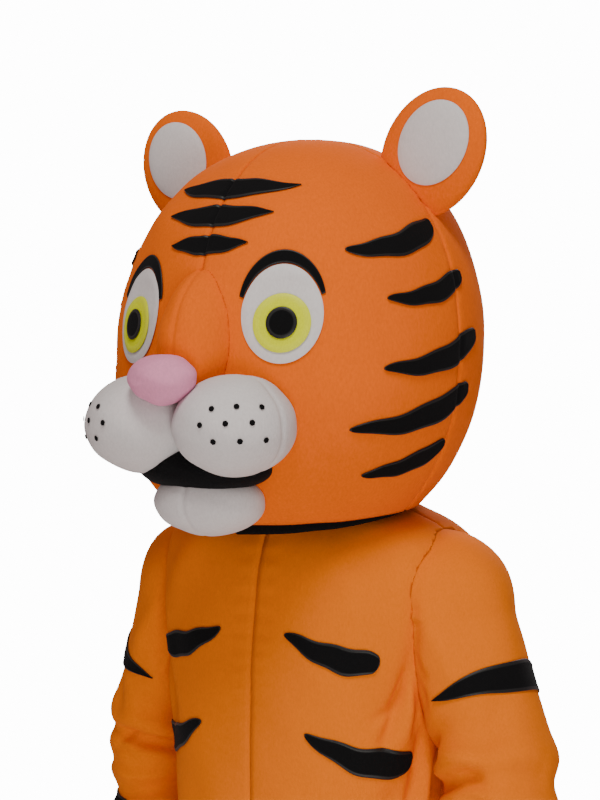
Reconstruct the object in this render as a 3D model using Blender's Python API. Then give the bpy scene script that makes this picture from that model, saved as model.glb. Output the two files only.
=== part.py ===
"""Tiger costume: a soft hollow head and a one-piece fleece suit, worn pose, metres, +Z up.

The costume faces -Y and +X is its own left. The origin is at the neck, on the shoulder line.
"""
import math

import bmesh
import bpy
from mathutils import Vector

SEAM = 0.0003
HALF_SEAM = SEAM / 2
CLOTH = 0.002
FOAM = 0.010
APPLIQUE_LIFT = 0.001
APPLIQUE = 0.0012
MERGE = 1e-6
FAR = 2.0

HEAD_AXIS_Y = -0.04
HEAD_TILT = 0.10
HEAD_COLUMNS = 32
TORSO_COLUMNS = 28
SLEEVE_COLUMNS = 16
LEG_COLUMNS = 20
TORSO_POWER = 2 / 2.4
SLEEVE_STEPS = (4.0, 0.1)
SLEEVE_EASE = 0.6
POLE_WIDTH = 1e-5
HEAD_STEPS = (2.0, 0.006)
TORSO_STEPS = (3.0, 0.006)
LEG_STEPS = (3.0, 0.01)
LINING_STEPS = (2.0, -0.2)

HEAD_HALF_WIDTH = 0.205
HEAD_DEPTH_SHARE = 0.94
HEAD_WIDEST = 0.145
HEAD_TOP = 0.375
HEAD_RIM = -0.028
# where the lower half would close if the neck were not open
HEAD_FOOT = -0.075
HEAD_ROUNDNESS = 2.2
HEAD_RINGS_BELOW = 4
HEAD_RINGS_ABOVE = 7

# height, half_width, half_depth
TORSO_RINGS = (
    (-0.015, 0.085, 0.070),
    (-0.030, 0.118, 0.086),
    (-0.042, 0.150, 0.098),
    (-0.058, 0.176, 0.108),
    (-0.085, 0.188, 0.118),
    (-0.125, 0.188, 0.126),
    (-0.180, 0.180, 0.132),
    (-0.240, 0.170, 0.135),
    (-0.310, 0.163, 0.136),
    (-0.380, 0.161, 0.136),
    (-0.450, 0.164, 0.137),
    (-0.520, 0.170, 0.140),
    (-0.590, 0.178, 0.144),
    (-0.660, 0.185, 0.147),
    (-0.740, 0.190, 0.148),
)

# out, left_back, right_back, height, half_across, half_depth
SLEEVE_RINGS = (
    (0.100, 0.000, 0.000, -0.113, 0.063, 0.071),
    (0.142, 0.000, 0.000, -0.113, 0.067, 0.074),
    (0.170, 0.001, -0.001, -0.122, 0.067, 0.073),
    (0.179, 0.000, -0.002, -0.152, 0.064, 0.070),
    (0.196, -0.004, 0.003, -0.193, 0.063, 0.068),
    (0.214, -0.009, 0.010, -0.235, 0.061, 0.066),
    (0.232, -0.015, 0.015, -0.272, 0.060, 0.064),
    (0.239, -0.018, 0.018, -0.292, 0.064, 0.068),
    (0.241, -0.020, 0.020, -0.309, 0.059, 0.063),
    (0.242, -0.022, 0.021, -0.327, 0.063, 0.067),
    (0.243, -0.026, 0.021, -0.352, 0.057, 0.061),
    (0.244, -0.039, 0.016, -0.408, 0.055, 0.059),
    (0.243, -0.059, 0.002, -0.477, 0.052, 0.056),
    (0.239, -0.081, -0.016, -0.545, 0.049, 0.052),
    (0.236, -0.092, -0.026, -0.579, 0.048, 0.051),
)

CROTCH_HEIGHT = -0.740
HEM_HEIGHT = -1.420
HEM_CENTRE = 0.110
HEM_RADIUS = 0.088
LEG_ROWS = 7
LEG_INNER_GAP = 0.002

LINING_DROP_FRONT = 0.0189
LINING_DROP_BACK = 0.0032

# name, root_angle, root_height, tip_angle, tip_height, bow, half_width, steps
HEAD_STRIPES = (
    ("Temple_Stripe_Upper", 86, 0.276, 48, 0.256, 0.008, 0.017, 8),
    ("Temple_Stripe_Lower", 94, 0.222, 60, 0.204, 0.008, 0.015, 8),
    ("Cheek_Stripe_Upper", 100, 0.158, 58, 0.134, 0.010, 0.018, 8),
    ("Cheek_Stripe_Middle", 96, 0.102, 48, 0.076, 0.010, 0.018, 8),
    ("Cheek_Stripe_Lower", 88, 0.046, 54, 0.026, 0.006, 0.014, 8),
)
# name, height, half_angle, half_width
FOREHEAD_BARS = (
    ("Forehead_Bar_Lower", 0.268, 16, 0.010),
    ("Forehead_Bar_Middle", 0.297, 24, 0.011),
    ("Forehead_Bar_Upper", 0.325, 34, 0.010),
)
NAPE_BARS = (
    ("Nape_Bar_Upper", 0.230, 46, 0.018),
    ("Nape_Bar_Lower", 0.130, 50, 0.019),
)
# name, root_angle, root_height, tip_angle, tip_height, bow, half_width, steps
CHEST_STRIPES = (
    ("Chest_Stripe_Upper", 48, -0.186, 10, -0.158, 0.008, 0.019, 10),
    ("Chest_Stripe_Middle", 70, -0.292, 20, -0.262, 0.012, 0.021, 10),
    ("Chest_Stripe_Lower", 78, -0.404, 24, -0.372, 0.012, 0.020, 10),
)
# name, travel along the sleeve's rings, half_angle, half_width in travel
SLEEVE_BANDS = (
    ("Sleeve_Band_Upper", 4.7, 105, 0.40),
    ("Sleeve_Band_Middle", 10.9, 110, 0.26),
    ("Sleeve_Band_Lower", 12.4, 110, 0.26),
)

EYE_ANGLE = 28
EYE_HEIGHT = 0.196
EYE_HALF_WIDTH = 0.043
EYE_HALF_HEIGHT = 0.050
IRIS_DROP = 0.009
IRIS_RADIUS = 0.030
PUPIL_RADIUS = 0.016
LID_WIDTH = 0.013

FINE = (20, 10)
NOSE_GRID = (18, 10)
COARSE = (16, 8)
# centre out, back and up, then half sizes across, deep and tall, then segments and rings
PAD_FORM = ((0.058, -0.238, 0.067), (0.064, 0.062, 0.052), FINE)
NOSE_FORM = ((0, -0.282, 0.113), (0.042, 0.028, 0.026), NOSE_GRID)
BRIDGE_FORM = ((0, -0.204, 0.156), (0.046, 0.060, 0.080), COARSE)
CHIN_FORM = ((0, -0.204, -0.014), (0.064, 0.046, 0.036), COARSE)
MOUTH_FORM = ((0, -0.212, 0.022), (0.080, 0.050, 0.026), COARSE)
EAR_FORM = ((0.165, -0.030, 0.352), (0.062, 0.014, 0.074), COARSE)
EAR_INSIDE_FORM = ((0.170, -0.039, 0.359), (0.042, 0.009, 0.050), COARSE)
EAR_PATCH_FORM = ((0.177, -0.022, 0.369), (0.036, 0.010, 0.034), COARSE)
BRIDGE_LEAN = -24
EAR_LEAN = 36
SIDES = (("Left", 1), ("Right", -1))

EYE_RADIUS = 0.196
STRIPE_RADIUS = 0.200
CHEST_RADIUS = 0.160
LAYER_GAP = 0.0006
STRIPE_ACROSS = (-1, -0.5, 0, 0.5, 1)
# shares of a stripe's greatest half width at its root and tip, and how fast it widens
STRIPE_ROOT = 0.45
STRIPE_TIP = 0.10
STRIPE_GROWTH = 2.2
BAR_ACROSS = (-1, 0, 1)
BAR_END = 0.12
BAR_STEPS = 10
NAPE_STEPS = 14
DISC_SIDES = 16
PUPIL_SIDES = 12
DISC_RINGS = (1.0, 0.5, 0.001)
CENTRE_BLOCK_HALF = 0.2
LID_GAP = 0.0012
LID_START, LID_END = 20, 160
LID_COUNT = 11

# name, colour, roughness
MATERIALS = {
    "orange_fleece": ((0.66, 0.21, 0.03, 1), 0.95),
    "white_fleece": ((0.64, 0.58, 0.58, 1), 0.95),
    "black_fleece": ((0.01, 0.01, 0.01, 1), 0.95),
    "pink_fleece": ((0.68, 0.32, 0.48, 1), 0.85),
    "iris_felt": ((0.68, 0.74, 0.05, 1), 0.80),
}


def clear_scene():
    """Removes every object of the file that the script runs in."""
    for item in list(bpy.data.objects):
        bpy.data.objects.remove(item, do_unlink=True)


def new_collection(name):
    """A collection linked to the scene."""
    collection = bpy.data.collections.new(name)
    bpy.context.scene.collection.children.link(collection)
    return collection


def make_materials():
    """One Principled material for each cloth."""
    made = {}
    for name, (colour, roughness) in MATERIALS.items():
        material = bpy.data.materials.new(name)
        material.use_nodes = True
        shader = material.node_tree.nodes["Principled BSDF"]
        shader.inputs["Base Color"].default_value = colour
        shader.inputs["Roughness"].default_value = roughness
        shader.inputs["Metallic"].default_value = 0.0
        made[name] = material
    return made


def table_at(rows, key, position):
    """The other columns of a table's row at a position, straight between rows."""
    keys = [row[key] for row in rows]
    rising = keys[-1] > keys[0]
    for index in range(len(rows) - 1):
        low, high = keys[index], keys[index + 1]
        inside = low <= position <= high if rising else high <= position <= low
        if inside:
            share = (position - low) / (high - low)
            return [a + (b - a) * share for a, b in zip(rows[index], rows[index + 1])]
    nearest = rows[0] if abs(position - keys[0]) < abs(position - keys[-1]) else rows[-1]
    return list(nearest)


def spread(low, high, count):
    """Evenly spaced values from low to high."""
    return [low + (high - low) * index / (count - 1) for index in range(count)]


def head_rings():
    """The head's plain rounded form as rows of height, half width and half depth, rim to crown."""
    heights = spread(HEAD_RIM, HEAD_WIDEST, HEAD_RINGS_BELOW + 1)
    for turn in spread(0, math.pi / 2, HEAD_RINGS_ABOVE)[1:]:
        heights.append(HEAD_WIDEST + (HEAD_TOP - HEAD_WIDEST) * math.sin(turn))
    rows = []
    for height in heights:
        end = HEAD_TOP if height > HEAD_WIDEST else HEAD_FOOT
        share = abs(height - HEAD_WIDEST) / abs(end - HEAD_WIDEST)
        fullness = max(1 - share ** HEAD_ROUNDNESS, 0) ** (1 / HEAD_ROUNDNESS)
        width = HEAD_HALF_WIDTH * fullness
        rows.append((height, width, width * HEAD_DEPTH_SHARE))
    return rows


HEAD_RINGS = head_rings()


def head_point(angle, height):
    """The head's outside: angle in degrees from the front towards +X."""
    _, width, depth = table_at(HEAD_RINGS, 0, height)
    turn = math.radians(angle)
    back = -depth * math.cos(turn)
    return Vector((width * math.sin(turn), HEAD_AXIS_Y + back, height + HEAD_TILT * back))


def rounded(value):
    """A sine or cosine squared up for a fuller section than an ellipse."""
    return math.copysign(abs(value) ** TORSO_POWER, value)


def torso_point(angle, height):
    """The suit's body outside: angle in degrees from the front towards +X."""
    _, width, depth = table_at(TORSO_RINGS, 0, height)
    turn = math.radians(angle)
    return Vector((width * rounded(math.sin(turn)), -depth * rounded(math.cos(turn)), height))


def sleeve_centre(side, travel):
    """The sleeve's middle line and half sizes at a place counted in ring rows."""
    index = min(max(int(travel), 0), len(SLEEVE_RINGS) - 2)
    share = travel - index
    row = [a + (b - a) * share for a, b in zip(SLEEVE_RINGS[index], SLEEVE_RINGS[index + 1])]
    out, left_back, right_back, height, across, depth = row
    back = left_back if side > 0 else right_back
    return Vector((side * out, back, height)), across, depth


def sleeve_point(side, angle, travel):
    """A sleeve's outside: angle in degrees, 0 on its outer side, turning so that it faces out."""
    last = len(SLEEVE_RINGS) - 1
    centre, across, depth = sleeve_centre(side, travel)
    row = min(max(travel, 0), last)
    before = sleeve_centre(side, max(row - SLEEVE_EASE, 0))[0]
    after = sleeve_centre(side, min(row + SLEEVE_EASE, last))[0]
    along = (after - before).normalized()
    back = Vector((0, 1, 0))
    back = (back - along * back.dot(along)).normalized()
    outward = back.cross(along) * side
    if outward.x * side + outward.z < 0:
        outward = -outward
    turn = math.radians(angle)
    return centre + outward * (across * math.cos(turn)) - back * (side * depth * math.sin(turn))


def leg_point(side, angle, height):
    """A leg's outside, a D below the body that rounds to a circle at the hem."""
    share = (CROTCH_HEIGHT - height) / (CROTCH_HEIGHT - HEM_HEIGHT)
    ease = 1 - (1 - share) ** 2
    top = torso_point(angle, CROTCH_HEIGHT)
    out_top = max(side * top.x, LEG_INNER_GAP)
    turn = math.radians(angle)
    out_hem = HEM_CENTRE + HEM_RADIUS * math.sin(turn) * side
    out = out_top + (out_hem - out_top) * ease
    back_hem = -HEM_RADIUS * math.cos(turn)
    return Vector((side * out, top.y + (back_hem - top.y) * ease, height))


def normal_of(surface, u, v, u_step, v_step):
    """A surface's direction out, from its neighbours on both sides."""
    across = surface(u + u_step, v) - surface(u - u_step, v)
    along = surface(u, v + v_step) - surface(u, v - v_step)
    facing = across.cross(along)
    return facing.normalized() if across.length > POLE_WIDTH else Vector((0, 0, 1))


def lifted(surface, u, v, lift, steps):
    """A surface's point moved out along its normal."""
    u_step, v_step = steps
    return surface(u, v) + normal_of(surface, u, v, u_step, v_step) * lift


def link_mesh(name, mesh_builder, collection, material=None):
    """A new object from a bmesh, with faces turned out and smooth shading."""
    bmesh.ops.remove_doubles(mesh_builder, verts=mesh_builder.verts, dist=MERGE)
    bmesh.ops.recalc_face_normals(mesh_builder, faces=mesh_builder.faces)
    mesh = bpy.data.meshes.new(name)
    mesh_builder.to_mesh(mesh)
    mesh_builder.free()
    mesh.shade_smooth()
    item = bpy.data.objects.new(name, mesh)
    collection.objects.link(item)
    if material:
        mesh.materials.append(material)
    return item


def grid_faces(builder, grid, closed):
    """Quads over a grid of vertices, wrapped round if closed."""
    for upper, lower in zip(grid, grid[1:]):
        count = len(upper)
        for column in range(count if closed else count - 1):
            beside = (column + 1) % count
            builder.faces.new((upper[column], upper[beside], lower[beside], lower[column]))


def rim_faces(builder, outer, inner):
    """Quads that join two matching lines of vertices."""
    for index in range(len(outer) - 1):
        builder.faces.new((outer[index], outer[index + 1], inner[index + 1], inner[index]))


def wall(name, outer_points, inner_points, closed, collection, material):
    """A closed wall between two matching grids of points."""
    builder = bmesh.new()
    outer = [[builder.verts.new(point) for point in row] for row in outer_points]
    inner = [[builder.verts.new(point) for point in row] for row in inner_points]
    grid_faces(builder, outer, closed)
    grid_faces(builder, inner, closed)
    for row in (0, -1):
        line = outer[row] + outer[row][:1] if closed else outer[row]
        back_line = inner[row] + inner[row][:1] if closed else inner[row]
        rim_faces(builder, line, back_line)
    if not closed:
        for column in (0, -1):
            rim_faces(builder, [row[column] for row in outer], [row[column] for row in inner])
    bmesh.ops.dissolve_degenerate(builder, edges=builder.edges, dist=MERGE)
    return link_mesh(name, builder, collection, material)


def panel(name, surface, us, vs, cut, collection, material):
    """A stretch of cloth over a surface.

    cut holds thickness, steps, closed and keep, a function that holds the panel clear of its
    seams.
    """
    def points(lift):
        return [[cut["keep"](lifted(surface, u, v, lift, cut["steps"]))
                 for u in us] for v in vs]
    outer = points(0.0)
    inner = points(-cut["thickness"])
    return wall(name, outer, inner, cut["closed"], collection, material)


def solid(name, surface, us, vs, lift, steps, collection):
    """The full body inside a surface, as a cutter."""
    builder = bmesh.new()
    grid = [[builder.verts.new(lifted(surface, u, v, lift, steps)) for u in us] for v in vs]
    grid_faces(builder, grid, True)
    builder.faces.new(grid[0])
    builder.faces.new(grid[-1])
    bmesh.ops.dissolve_degenerate(builder, edges=builder.edges, dist=MERGE)
    return as_cutter(link_mesh(name, builder, collection))


def cut_with(item, cutter):
    """A Boolean that takes a cutter's room out of a piece."""
    modifier = item.modifiers.new("Cut " + cutter.name, "BOOLEAN")
    modifier.operation = "DIFFERENCE"
    modifier.solver = "EXACT"
    modifier.object = cutter


def stay(point):
    """A point that no seam moves."""
    return point


def keep_in(x_side=0, y_side=0, y_seam=0.0, low=-FAR, high=FAR):
    """A function that holds points on one side of the seams at X 0 and y_seam, from low to high."""
    def keep(point):
        if x_side:
            point.x = x_side * max(x_side * point.x, HALF_SEAM)
        if y_side:
            point.y = y_seam + y_side * max(y_side * (point.y - y_seam), HALF_SEAM)
        point.z = min(max(point.z, low), high)
        return point
    return keep


def stripe(name, surface, metres_per_u, row, steps, collection, material):
    """A tapered stripe on a surface, wide at its root and narrow at its tip."""
    root_u, root_v, tip_u, tip_v, bow, half_width, count = row
    run_u = (tip_u - root_u) * metres_per_u
    run_v = tip_v - root_v
    length = math.hypot(run_u, run_v)
    side_u, side_v = -run_v / length, run_u / length
    outer, inner = [], []
    for share in spread(0, 1, count + 1):
        drift = bow * math.sin(math.pi * share)
        swell = min(1, STRIPE_ROOT + STRIPE_GROWTH * share)
        width = half_width * max(STRIPE_TIP, math.sqrt(1 - share) * swell)
        for rows, lift in ((outer, APPLIQUE_LIFT + APPLIQUE), (inner, APPLIQUE_LIFT)):
            line = []
            for across in STRIPE_ACROSS:
                offset = drift + across * width
                u = root_u + (tip_u - root_u) * share + side_u * offset / metres_per_u
                v = root_v + (tip_v - root_v) * share + side_v * offset
                line.append(lifted(surface, u, v, lift, steps))
            rows.append(line)
    return wall(name, outer, inner, False, collection, material)


def bar(name, surface, middle, half_run, half_width, steps, collection, material, count=BAR_STEPS):
    """A bar with both ends narrowed. middle is (u, v), half_run is in u and half_width in v."""
    outer, inner = [], []
    for share in spread(-1, 1, count + 1):
        width = half_width * max(BAR_END, 1 - share * share)
        for rows, lift in ((outer, APPLIQUE_LIFT + APPLIQUE), (inner, APPLIQUE_LIFT)):
            rows.append([lifted(surface, middle[0] + half_run * share, middle[1] + across * width,
                                lift, steps) for across in BAR_ACROSS])
    return wall(name, outer, inner, False, collection, material)


def disc(name, surface, middle, half_sizes, metres_per_u, lift, steps, collection, material,
         sides=DISC_SIDES):
    """An oval of cloth on a surface, in two rings round a middle."""
    outer, inner = [], []
    for ring in DISC_RINGS:
        for rows, height in ((outer, lift + APPLIQUE), (inner, lift)):
            line = []
            for side in range(sides):
                turn = 2 * math.pi * side / sides
                u = middle[0] + half_sizes[0] * ring * math.cos(turn) / metres_per_u
                v = middle[1] + half_sizes[1] * ring * math.sin(turn)
                line.append(lifted(surface, u, v, height, steps))
            rows.append(line)
    builder = bmesh.new()
    for grid_points, flip in ((outer, False), (inner, True)):
        grid = [[builder.verts.new(point) for point in row] for row in grid_points[:2]]
        middle_vertex = builder.verts.new(sum(grid_points[2], Vector()) / sides)
        grid_faces(builder, grid, True)
        for side in range(sides):
            builder.faces.new((grid[1][side], grid[1][(side + 1) % sides], middle_vertex))
        if flip:
            rim_faces(builder, first + first[:1], grid[0] + grid[0][:1])
        first = grid[0]
    return link_mesh(name, builder, collection, material)


def as_cutter(item):
    """Marks an object as one that only cuts others."""
    item.hide_render = True
    item.display_type = "WIRE"
    return item


def settle(item, name, collection):
    """Applies a primitive's place and scale and moves it to its collection."""
    item.name = name
    item.data.name = name
    bpy.ops.object.transform_apply(location=True, rotation=True, scale=True)
    for old in list(item.users_collection):
        old.objects.unlink(item)
    collection.objects.link(item)


def ellipsoid(name, form, side, collection, material=None, turn=(0, 0, 0), grow=0.0):
    """A UV sphere stretched to a form's half sizes, turned and set on one side."""
    (out, back, up), sizes, (segments, rings) = form
    bpy.ops.mesh.primitive_uv_sphere_add(segments=segments, ring_count=rings, radius=1)
    item = bpy.context.active_object
    item.scale = [size + grow for size in sizes]
    item.rotation_euler = [math.radians(angle) for angle in turn]
    item.location = (side * out, back, up)
    settle(item, name, collection)
    item.data.shade_smooth()
    if material:
        item.data.materials.append(material)
    return item


def room_of(name, form, side, collection, turn=(0, 0, 0)):
    """The cutter that leaves a seam's gap round a form."""
    return as_cutter(ellipsoid(name, form, side, collection, turn=turn, grow=SEAM))


def beyond_centre(side, collection):
    """A cutter that takes what crosses the centre line from one side."""
    bpy.ops.mesh.primitive_cube_add(size=2 * CENTRE_BLOCK_HALF)
    item = bpy.context.active_object
    item.location = (-side * (CENTRE_BLOCK_HALF - HALF_SEAM), PAD_FORM[0][1], PAD_FORM[0][2])
    settle(item, "Beyond_Centre_Left" if side > 0 else "Beyond_Centre_Right", collection)
    return as_cutter(item)


def head_shell(parts, cutters, cloth):
    """The three panels of the head and the cutter that its raised forms are seated on."""
    heights = [row[0] for row in HEAD_RINGS]
    shared = {"thickness": FOAM, "steps": HEAD_STEPS, "closed": False}
    quarter = HEAD_COLUMNS // 4 + 1
    faces = (("Head_Face_Left", 0, 90, keep_in(1, -1, HEAD_AXIS_Y)),
             ("Head_Face_Right", -90, 0, keep_in(-1, -1, HEAD_AXIS_Y)))
    for name, low, high, keep in faces:
        panel(name, head_point, spread(low, high, quarter), heights, dict(shared, keep=keep),
              parts, cloth["orange_fleece"])
    panel("Head_Back", head_point, spread(90, 270, 2 * quarter - 1), heights,
          dict(shared, keep=keep_in(0, 1, HEAD_AXIS_Y)), parts, cloth["orange_fleece"])
    columns = spread(0, 360, HEAD_COLUMNS + 1)[:-1]
    return solid("Head_Room", head_point, columns, heights, SEAM, HEAD_STEPS, cutters)


def lining_point(angle, share):
    """The neck lining's outside, from the head's inner lower edge straight down."""
    edge = lifted(head_point, angle, HEAD_RIM, -FOAM - SEAM, HEAD_STEPS)
    front = (1 + math.cos(math.radians(angle))) / 2
    edge.z -= share * (LINING_DROP_BACK + (LINING_DROP_FRONT - LINING_DROP_BACK) * front)
    return edge


def neck_lining(parts, cloth):
    """The dark cloth ring inside the head's lower edge, resting just over the suit."""
    cut = {"thickness": CLOTH, "steps": LINING_STEPS, "closed": True, "keep": stay}
    panel("Neck_Lining", lining_point, spread(0, 360, HEAD_COLUMNS + 1)[:-1], (0, 1), cut, parts,
          cloth["black_fleece"])


def muzzle(parts, cutters, cloth, head_room):
    """Pads, bridge, nose, mouth and chin: rounded foam forms seated on the face."""
    lean = (BRIDGE_LEAN, 0, 0)
    ellipsoid("Nose", NOSE_FORM, 1, parts, cloth["pink_fleece"])
    nose_room = room_of("Nose_Room", NOSE_FORM, 1, cutters)
    chin_room = room_of("Chin_Room", CHIN_FORM, 1, cutters)
    pad_rooms = [room_of("Pad_Room_" + label, PAD_FORM, side, cutters) for label, side in SIDES]
    seated = [(ellipsoid("Muzzle_Pad_" + label, PAD_FORM, side, parts, cloth["white_fleece"]),
               (beyond_centre(side, cutters), nose_room)) for label, side in SIDES]
    seated += [
        (ellipsoid("Nose_Bridge", BRIDGE_FORM, 1, parts, cloth["orange_fleece"], lean),
         [nose_room] + pad_rooms),
        (ellipsoid("Chin", CHIN_FORM, 1, parts, cloth["white_fleece"]), pad_rooms),
        (ellipsoid("Mouth_Lining", MOUTH_FORM, 1, parts, cloth["black_fleece"]),
         [chin_room] + pad_rooms),
    ]
    for item, rooms in seated:
        cut_with(item, head_room)
        for room in rooms:
            cut_with(item, room)


def ears(parts, cutters, cloth, head_room):
    """Round flat ears with a pale inside and a dark tip patch at the back."""
    for label, side in SIDES:
        lean = (0, side * EAR_LEAN, 0)
        ear = ellipsoid("Ear_" + label, EAR_FORM, side, parts, cloth["orange_fleece"], lean)
        room = room_of("Ear_Room_" + label, EAR_FORM, side, cutters, lean)
        inside = ellipsoid("Ear_Inside_" + label, EAR_INSIDE_FORM, side, parts,
                           cloth["white_fleece"], lean)
        patch = ellipsoid("Ear_Patch_" + label, EAR_PATCH_FORM, side, parts,
                          cloth["black_fleece"], lean)
        for piece in (ear, inside, patch):
            cut_with(piece, head_room)
        for piece in (inside, patch):
            cut_with(piece, room)


def eyes(parts, cloth):
    """Oval whites with a round iris, a round pupil and a plain dark lid over each."""
    per_degree = math.radians(1) * EYE_RADIUS
    layer = APPLIQUE + LAYER_GAP
    for label, side in SIDES:
        middle = (side * EYE_ANGLE, EYE_HEIGHT)
        low_middle = (side * EYE_ANGLE, EYE_HEIGHT - IRIS_DROP)
        disc("Eye_White_" + label, head_point, middle, (EYE_HALF_WIDTH, EYE_HALF_HEIGHT), per_degree,
             APPLIQUE_LIFT, HEAD_STEPS, parts, cloth["white_fleece"])
        disc("Iris_" + label, head_point, low_middle, (IRIS_RADIUS, IRIS_RADIUS), per_degree,
             APPLIQUE_LIFT + layer, HEAD_STEPS, parts, cloth["iris_felt"])
        disc("Pupil_" + label, head_point, low_middle, (PUPIL_RADIUS, PUPIL_RADIUS), per_degree,
             APPLIQUE_LIFT + 2 * layer, HEAD_STEPS, parts, cloth["black_fleece"],
             sides=PUPIL_SIDES)
        outer, inner = [], []
        for turn in spread(math.radians(LID_START), math.radians(LID_END), LID_COUNT):
            for rows, lift in ((outer, APPLIQUE_LIFT + APPLIQUE), (inner, APPLIQUE_LIFT)):
                line = []
                for reach in (LID_GAP, LID_GAP + LID_WIDTH):
                    u = middle[0] + (EYE_HALF_WIDTH + reach) * math.cos(turn) / per_degree
                    v = middle[1] + (EYE_HALF_HEIGHT + reach) * math.sin(turn)
                    line.append(lifted(head_point, u, v, lift, HEAD_STEPS))
                rows.append(line)
        wall("Eye_Lid_" + label, outer, inner, False, parts, cloth["black_fleece"])


def head_stripes(parts, cloth):
    """The dark applied stripes of the head."""
    per_degree = math.radians(1) * STRIPE_RADIUS
    black = cloth["black_fleece"]
    for name, height, half_angle, half_width in FOREHEAD_BARS:
        bar(name, head_point, (0, height), half_angle, half_width, HEAD_STEPS, parts, black)
    for name, height, half_angle, half_width in NAPE_BARS:
        bar(name, head_point, (180, height), half_angle, half_width, HEAD_STEPS, parts, black,
            count=NAPE_STEPS)
    for label, side in SIDES:
        for name, root, root_height, tip, tip_height, bow, half_width, count in HEAD_STRIPES:
            row = (side * root, root_height, side * tip, tip_height, side * bow, half_width, count)
            stripe(name + "_" + label, head_point, per_degree, row, HEAD_STEPS, parts, black)


def body(parts, cutters, cloth):
    """The suit's front and back panels and the cutter of the room that they fill."""
    orange = cloth["orange_fleece"]
    heights = [row[0] for row in TORSO_RINGS]
    quarter = TORSO_COLUMNS // 4 + 1
    panels = (("Suit_Front_Left", 0, 90, quarter, keep_in(1, -1, low=CROTCH_HEIGHT)),
              ("Suit_Front_Right", -90, 0, quarter, keep_in(-1, -1, low=CROTCH_HEIGHT)),
              ("Suit_Back", 90, 270, 2 * quarter - 1, keep_in(0, 1, low=CROTCH_HEIGHT)))
    made = []
    for name, low, high, count, keep in panels:
        cut = {"thickness": CLOTH, "steps": TORSO_STEPS, "closed": False, "keep": keep}
        made.append(panel(name, torso_point, spread(low, high, count), heights, cut, parts, orange))
    columns = spread(0, 360, TORSO_COLUMNS + 1)[:-1]
    return made, solid("Torso_Room", torso_point, columns, heights, SEAM, TORSO_STEPS, cutters)


def sleeve(label, side, panels, torso_room, parts, cutters, cloth):
    """One sleeve with its bands, and the armhole that it needs in the body's panels."""
    def surface(angle, travel):
        return sleeve_point(side, angle, travel)
    travels = list(range(len(SLEEVE_RINGS)))
    columns = spread(0, 360, SLEEVE_COLUMNS + 1)[:-1]
    cut = {"thickness": CLOTH, "steps": SLEEVE_STEPS, "closed": True, "keep": stay}
    tube = panel("Sleeve_" + label, surface, columns, travels, cut, parts, cloth["orange_fleece"])
    room = solid("Sleeve_Room_" + label, surface, columns, travels, SEAM, SLEEVE_STEPS, cutters)
    cut_with(tube, torso_room)
    for piece in panels:
        cut_with(piece, room)
    for name, travel, half_angle, half_width in SLEEVE_BANDS:
        bar(name + "_" + label, surface, (0, travel), half_angle, half_width, SLEEVE_STEPS, parts,
            cloth["black_fleece"], count=SLEEVE_COLUMNS)


def leg(label, side, parts, cloth):
    """One leg of the suit, open at the body and at the hem."""
    def surface(angle, height):
        return leg_point(side, angle, height)
    top = CROTCH_HEIGHT - SEAM
    cut = {"thickness": CLOTH, "steps": LEG_STEPS, "closed": True,
           "keep": keep_in(high=top)}
    panel("Leg_" + label, surface, spread(0, 360, LEG_COLUMNS + 1)[:-1],
          spread(top, HEM_HEIGHT, LEG_ROWS), cut, parts, cloth["orange_fleece"])


def suit(parts, cutters, cloth):
    """Body, sleeves and legs of the suit, and the stripes on its chest."""
    panels, torso_room = body(parts, cutters, cloth)
    for label, side in SIDES:
        sleeve(label, side, panels, torso_room, parts, cutters, cloth)
        leg(label, side, parts, cloth)
        for name, root, root_height, tip, tip_height, bow, half_width, count in CHEST_STRIPES:
            row = (side * root, root_height, side * tip, tip_height, side * bow, half_width, count)
            stripe(name + "_" + label, torso_point, math.radians(1) * CHEST_RADIUS, row,
                   TORSO_STEPS, parts, cloth["black_fleece"])


def main():
    """Builds the costume."""
    clear_scene()
    parts = new_collection("Tiger_Costume")
    cutters = new_collection("Cutters")
    cloth = make_materials()
    head_room = head_shell(parts, cutters, cloth)
    neck_lining(parts, cloth)
    muzzle(parts, cutters, cloth, head_room)
    ears(parts, cutters, cloth, head_room)
    eyes(parts, cloth)
    head_stripes(parts, cloth)
    suit(parts, cutters, cloth)


main()
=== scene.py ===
"""The dressed animal costume: fleece over foam for the head, thin fleece for the suit.

Metres, +Z up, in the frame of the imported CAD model. The costume faces -Y, and +X is its own left.
Angles round a form are in degrees from the front towards +X.
"""
import logging
import math
from dataclasses import dataclass
from dataclasses import field
from enum import Enum
from typing import Callable
from typing import Optional
from typing import Sequence

import bpy
import numpy as np
from mathutils import Matrix
from mathutils import Vector
from mathutils.kdtree import KDTree


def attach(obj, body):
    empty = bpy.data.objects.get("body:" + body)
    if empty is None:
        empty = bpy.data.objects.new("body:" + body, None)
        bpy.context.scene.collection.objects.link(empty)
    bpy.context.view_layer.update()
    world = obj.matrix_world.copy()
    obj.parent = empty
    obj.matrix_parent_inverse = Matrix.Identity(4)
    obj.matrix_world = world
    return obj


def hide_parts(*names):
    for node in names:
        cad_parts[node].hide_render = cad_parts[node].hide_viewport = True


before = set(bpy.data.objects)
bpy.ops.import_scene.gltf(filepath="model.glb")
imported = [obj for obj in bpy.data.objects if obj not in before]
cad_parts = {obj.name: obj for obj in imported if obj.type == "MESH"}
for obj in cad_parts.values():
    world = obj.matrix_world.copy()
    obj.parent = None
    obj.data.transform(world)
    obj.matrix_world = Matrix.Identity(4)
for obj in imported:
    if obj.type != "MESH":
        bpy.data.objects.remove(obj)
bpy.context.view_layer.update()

Array = np.ndarray
Grid = tuple[Array, Array, Array]
Triple = tuple[float, float, float]
LOG = logging.getLogger("costume")

DRESSED = "_Cloth"
EDGE = "edge"

# sizes in metres that the CAD source has too
SEAM = 0.0003
CLOTH = 0.002
FOAM = 0.010
LIFT = 0.001
APPLIQUE = 0.0012

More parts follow.
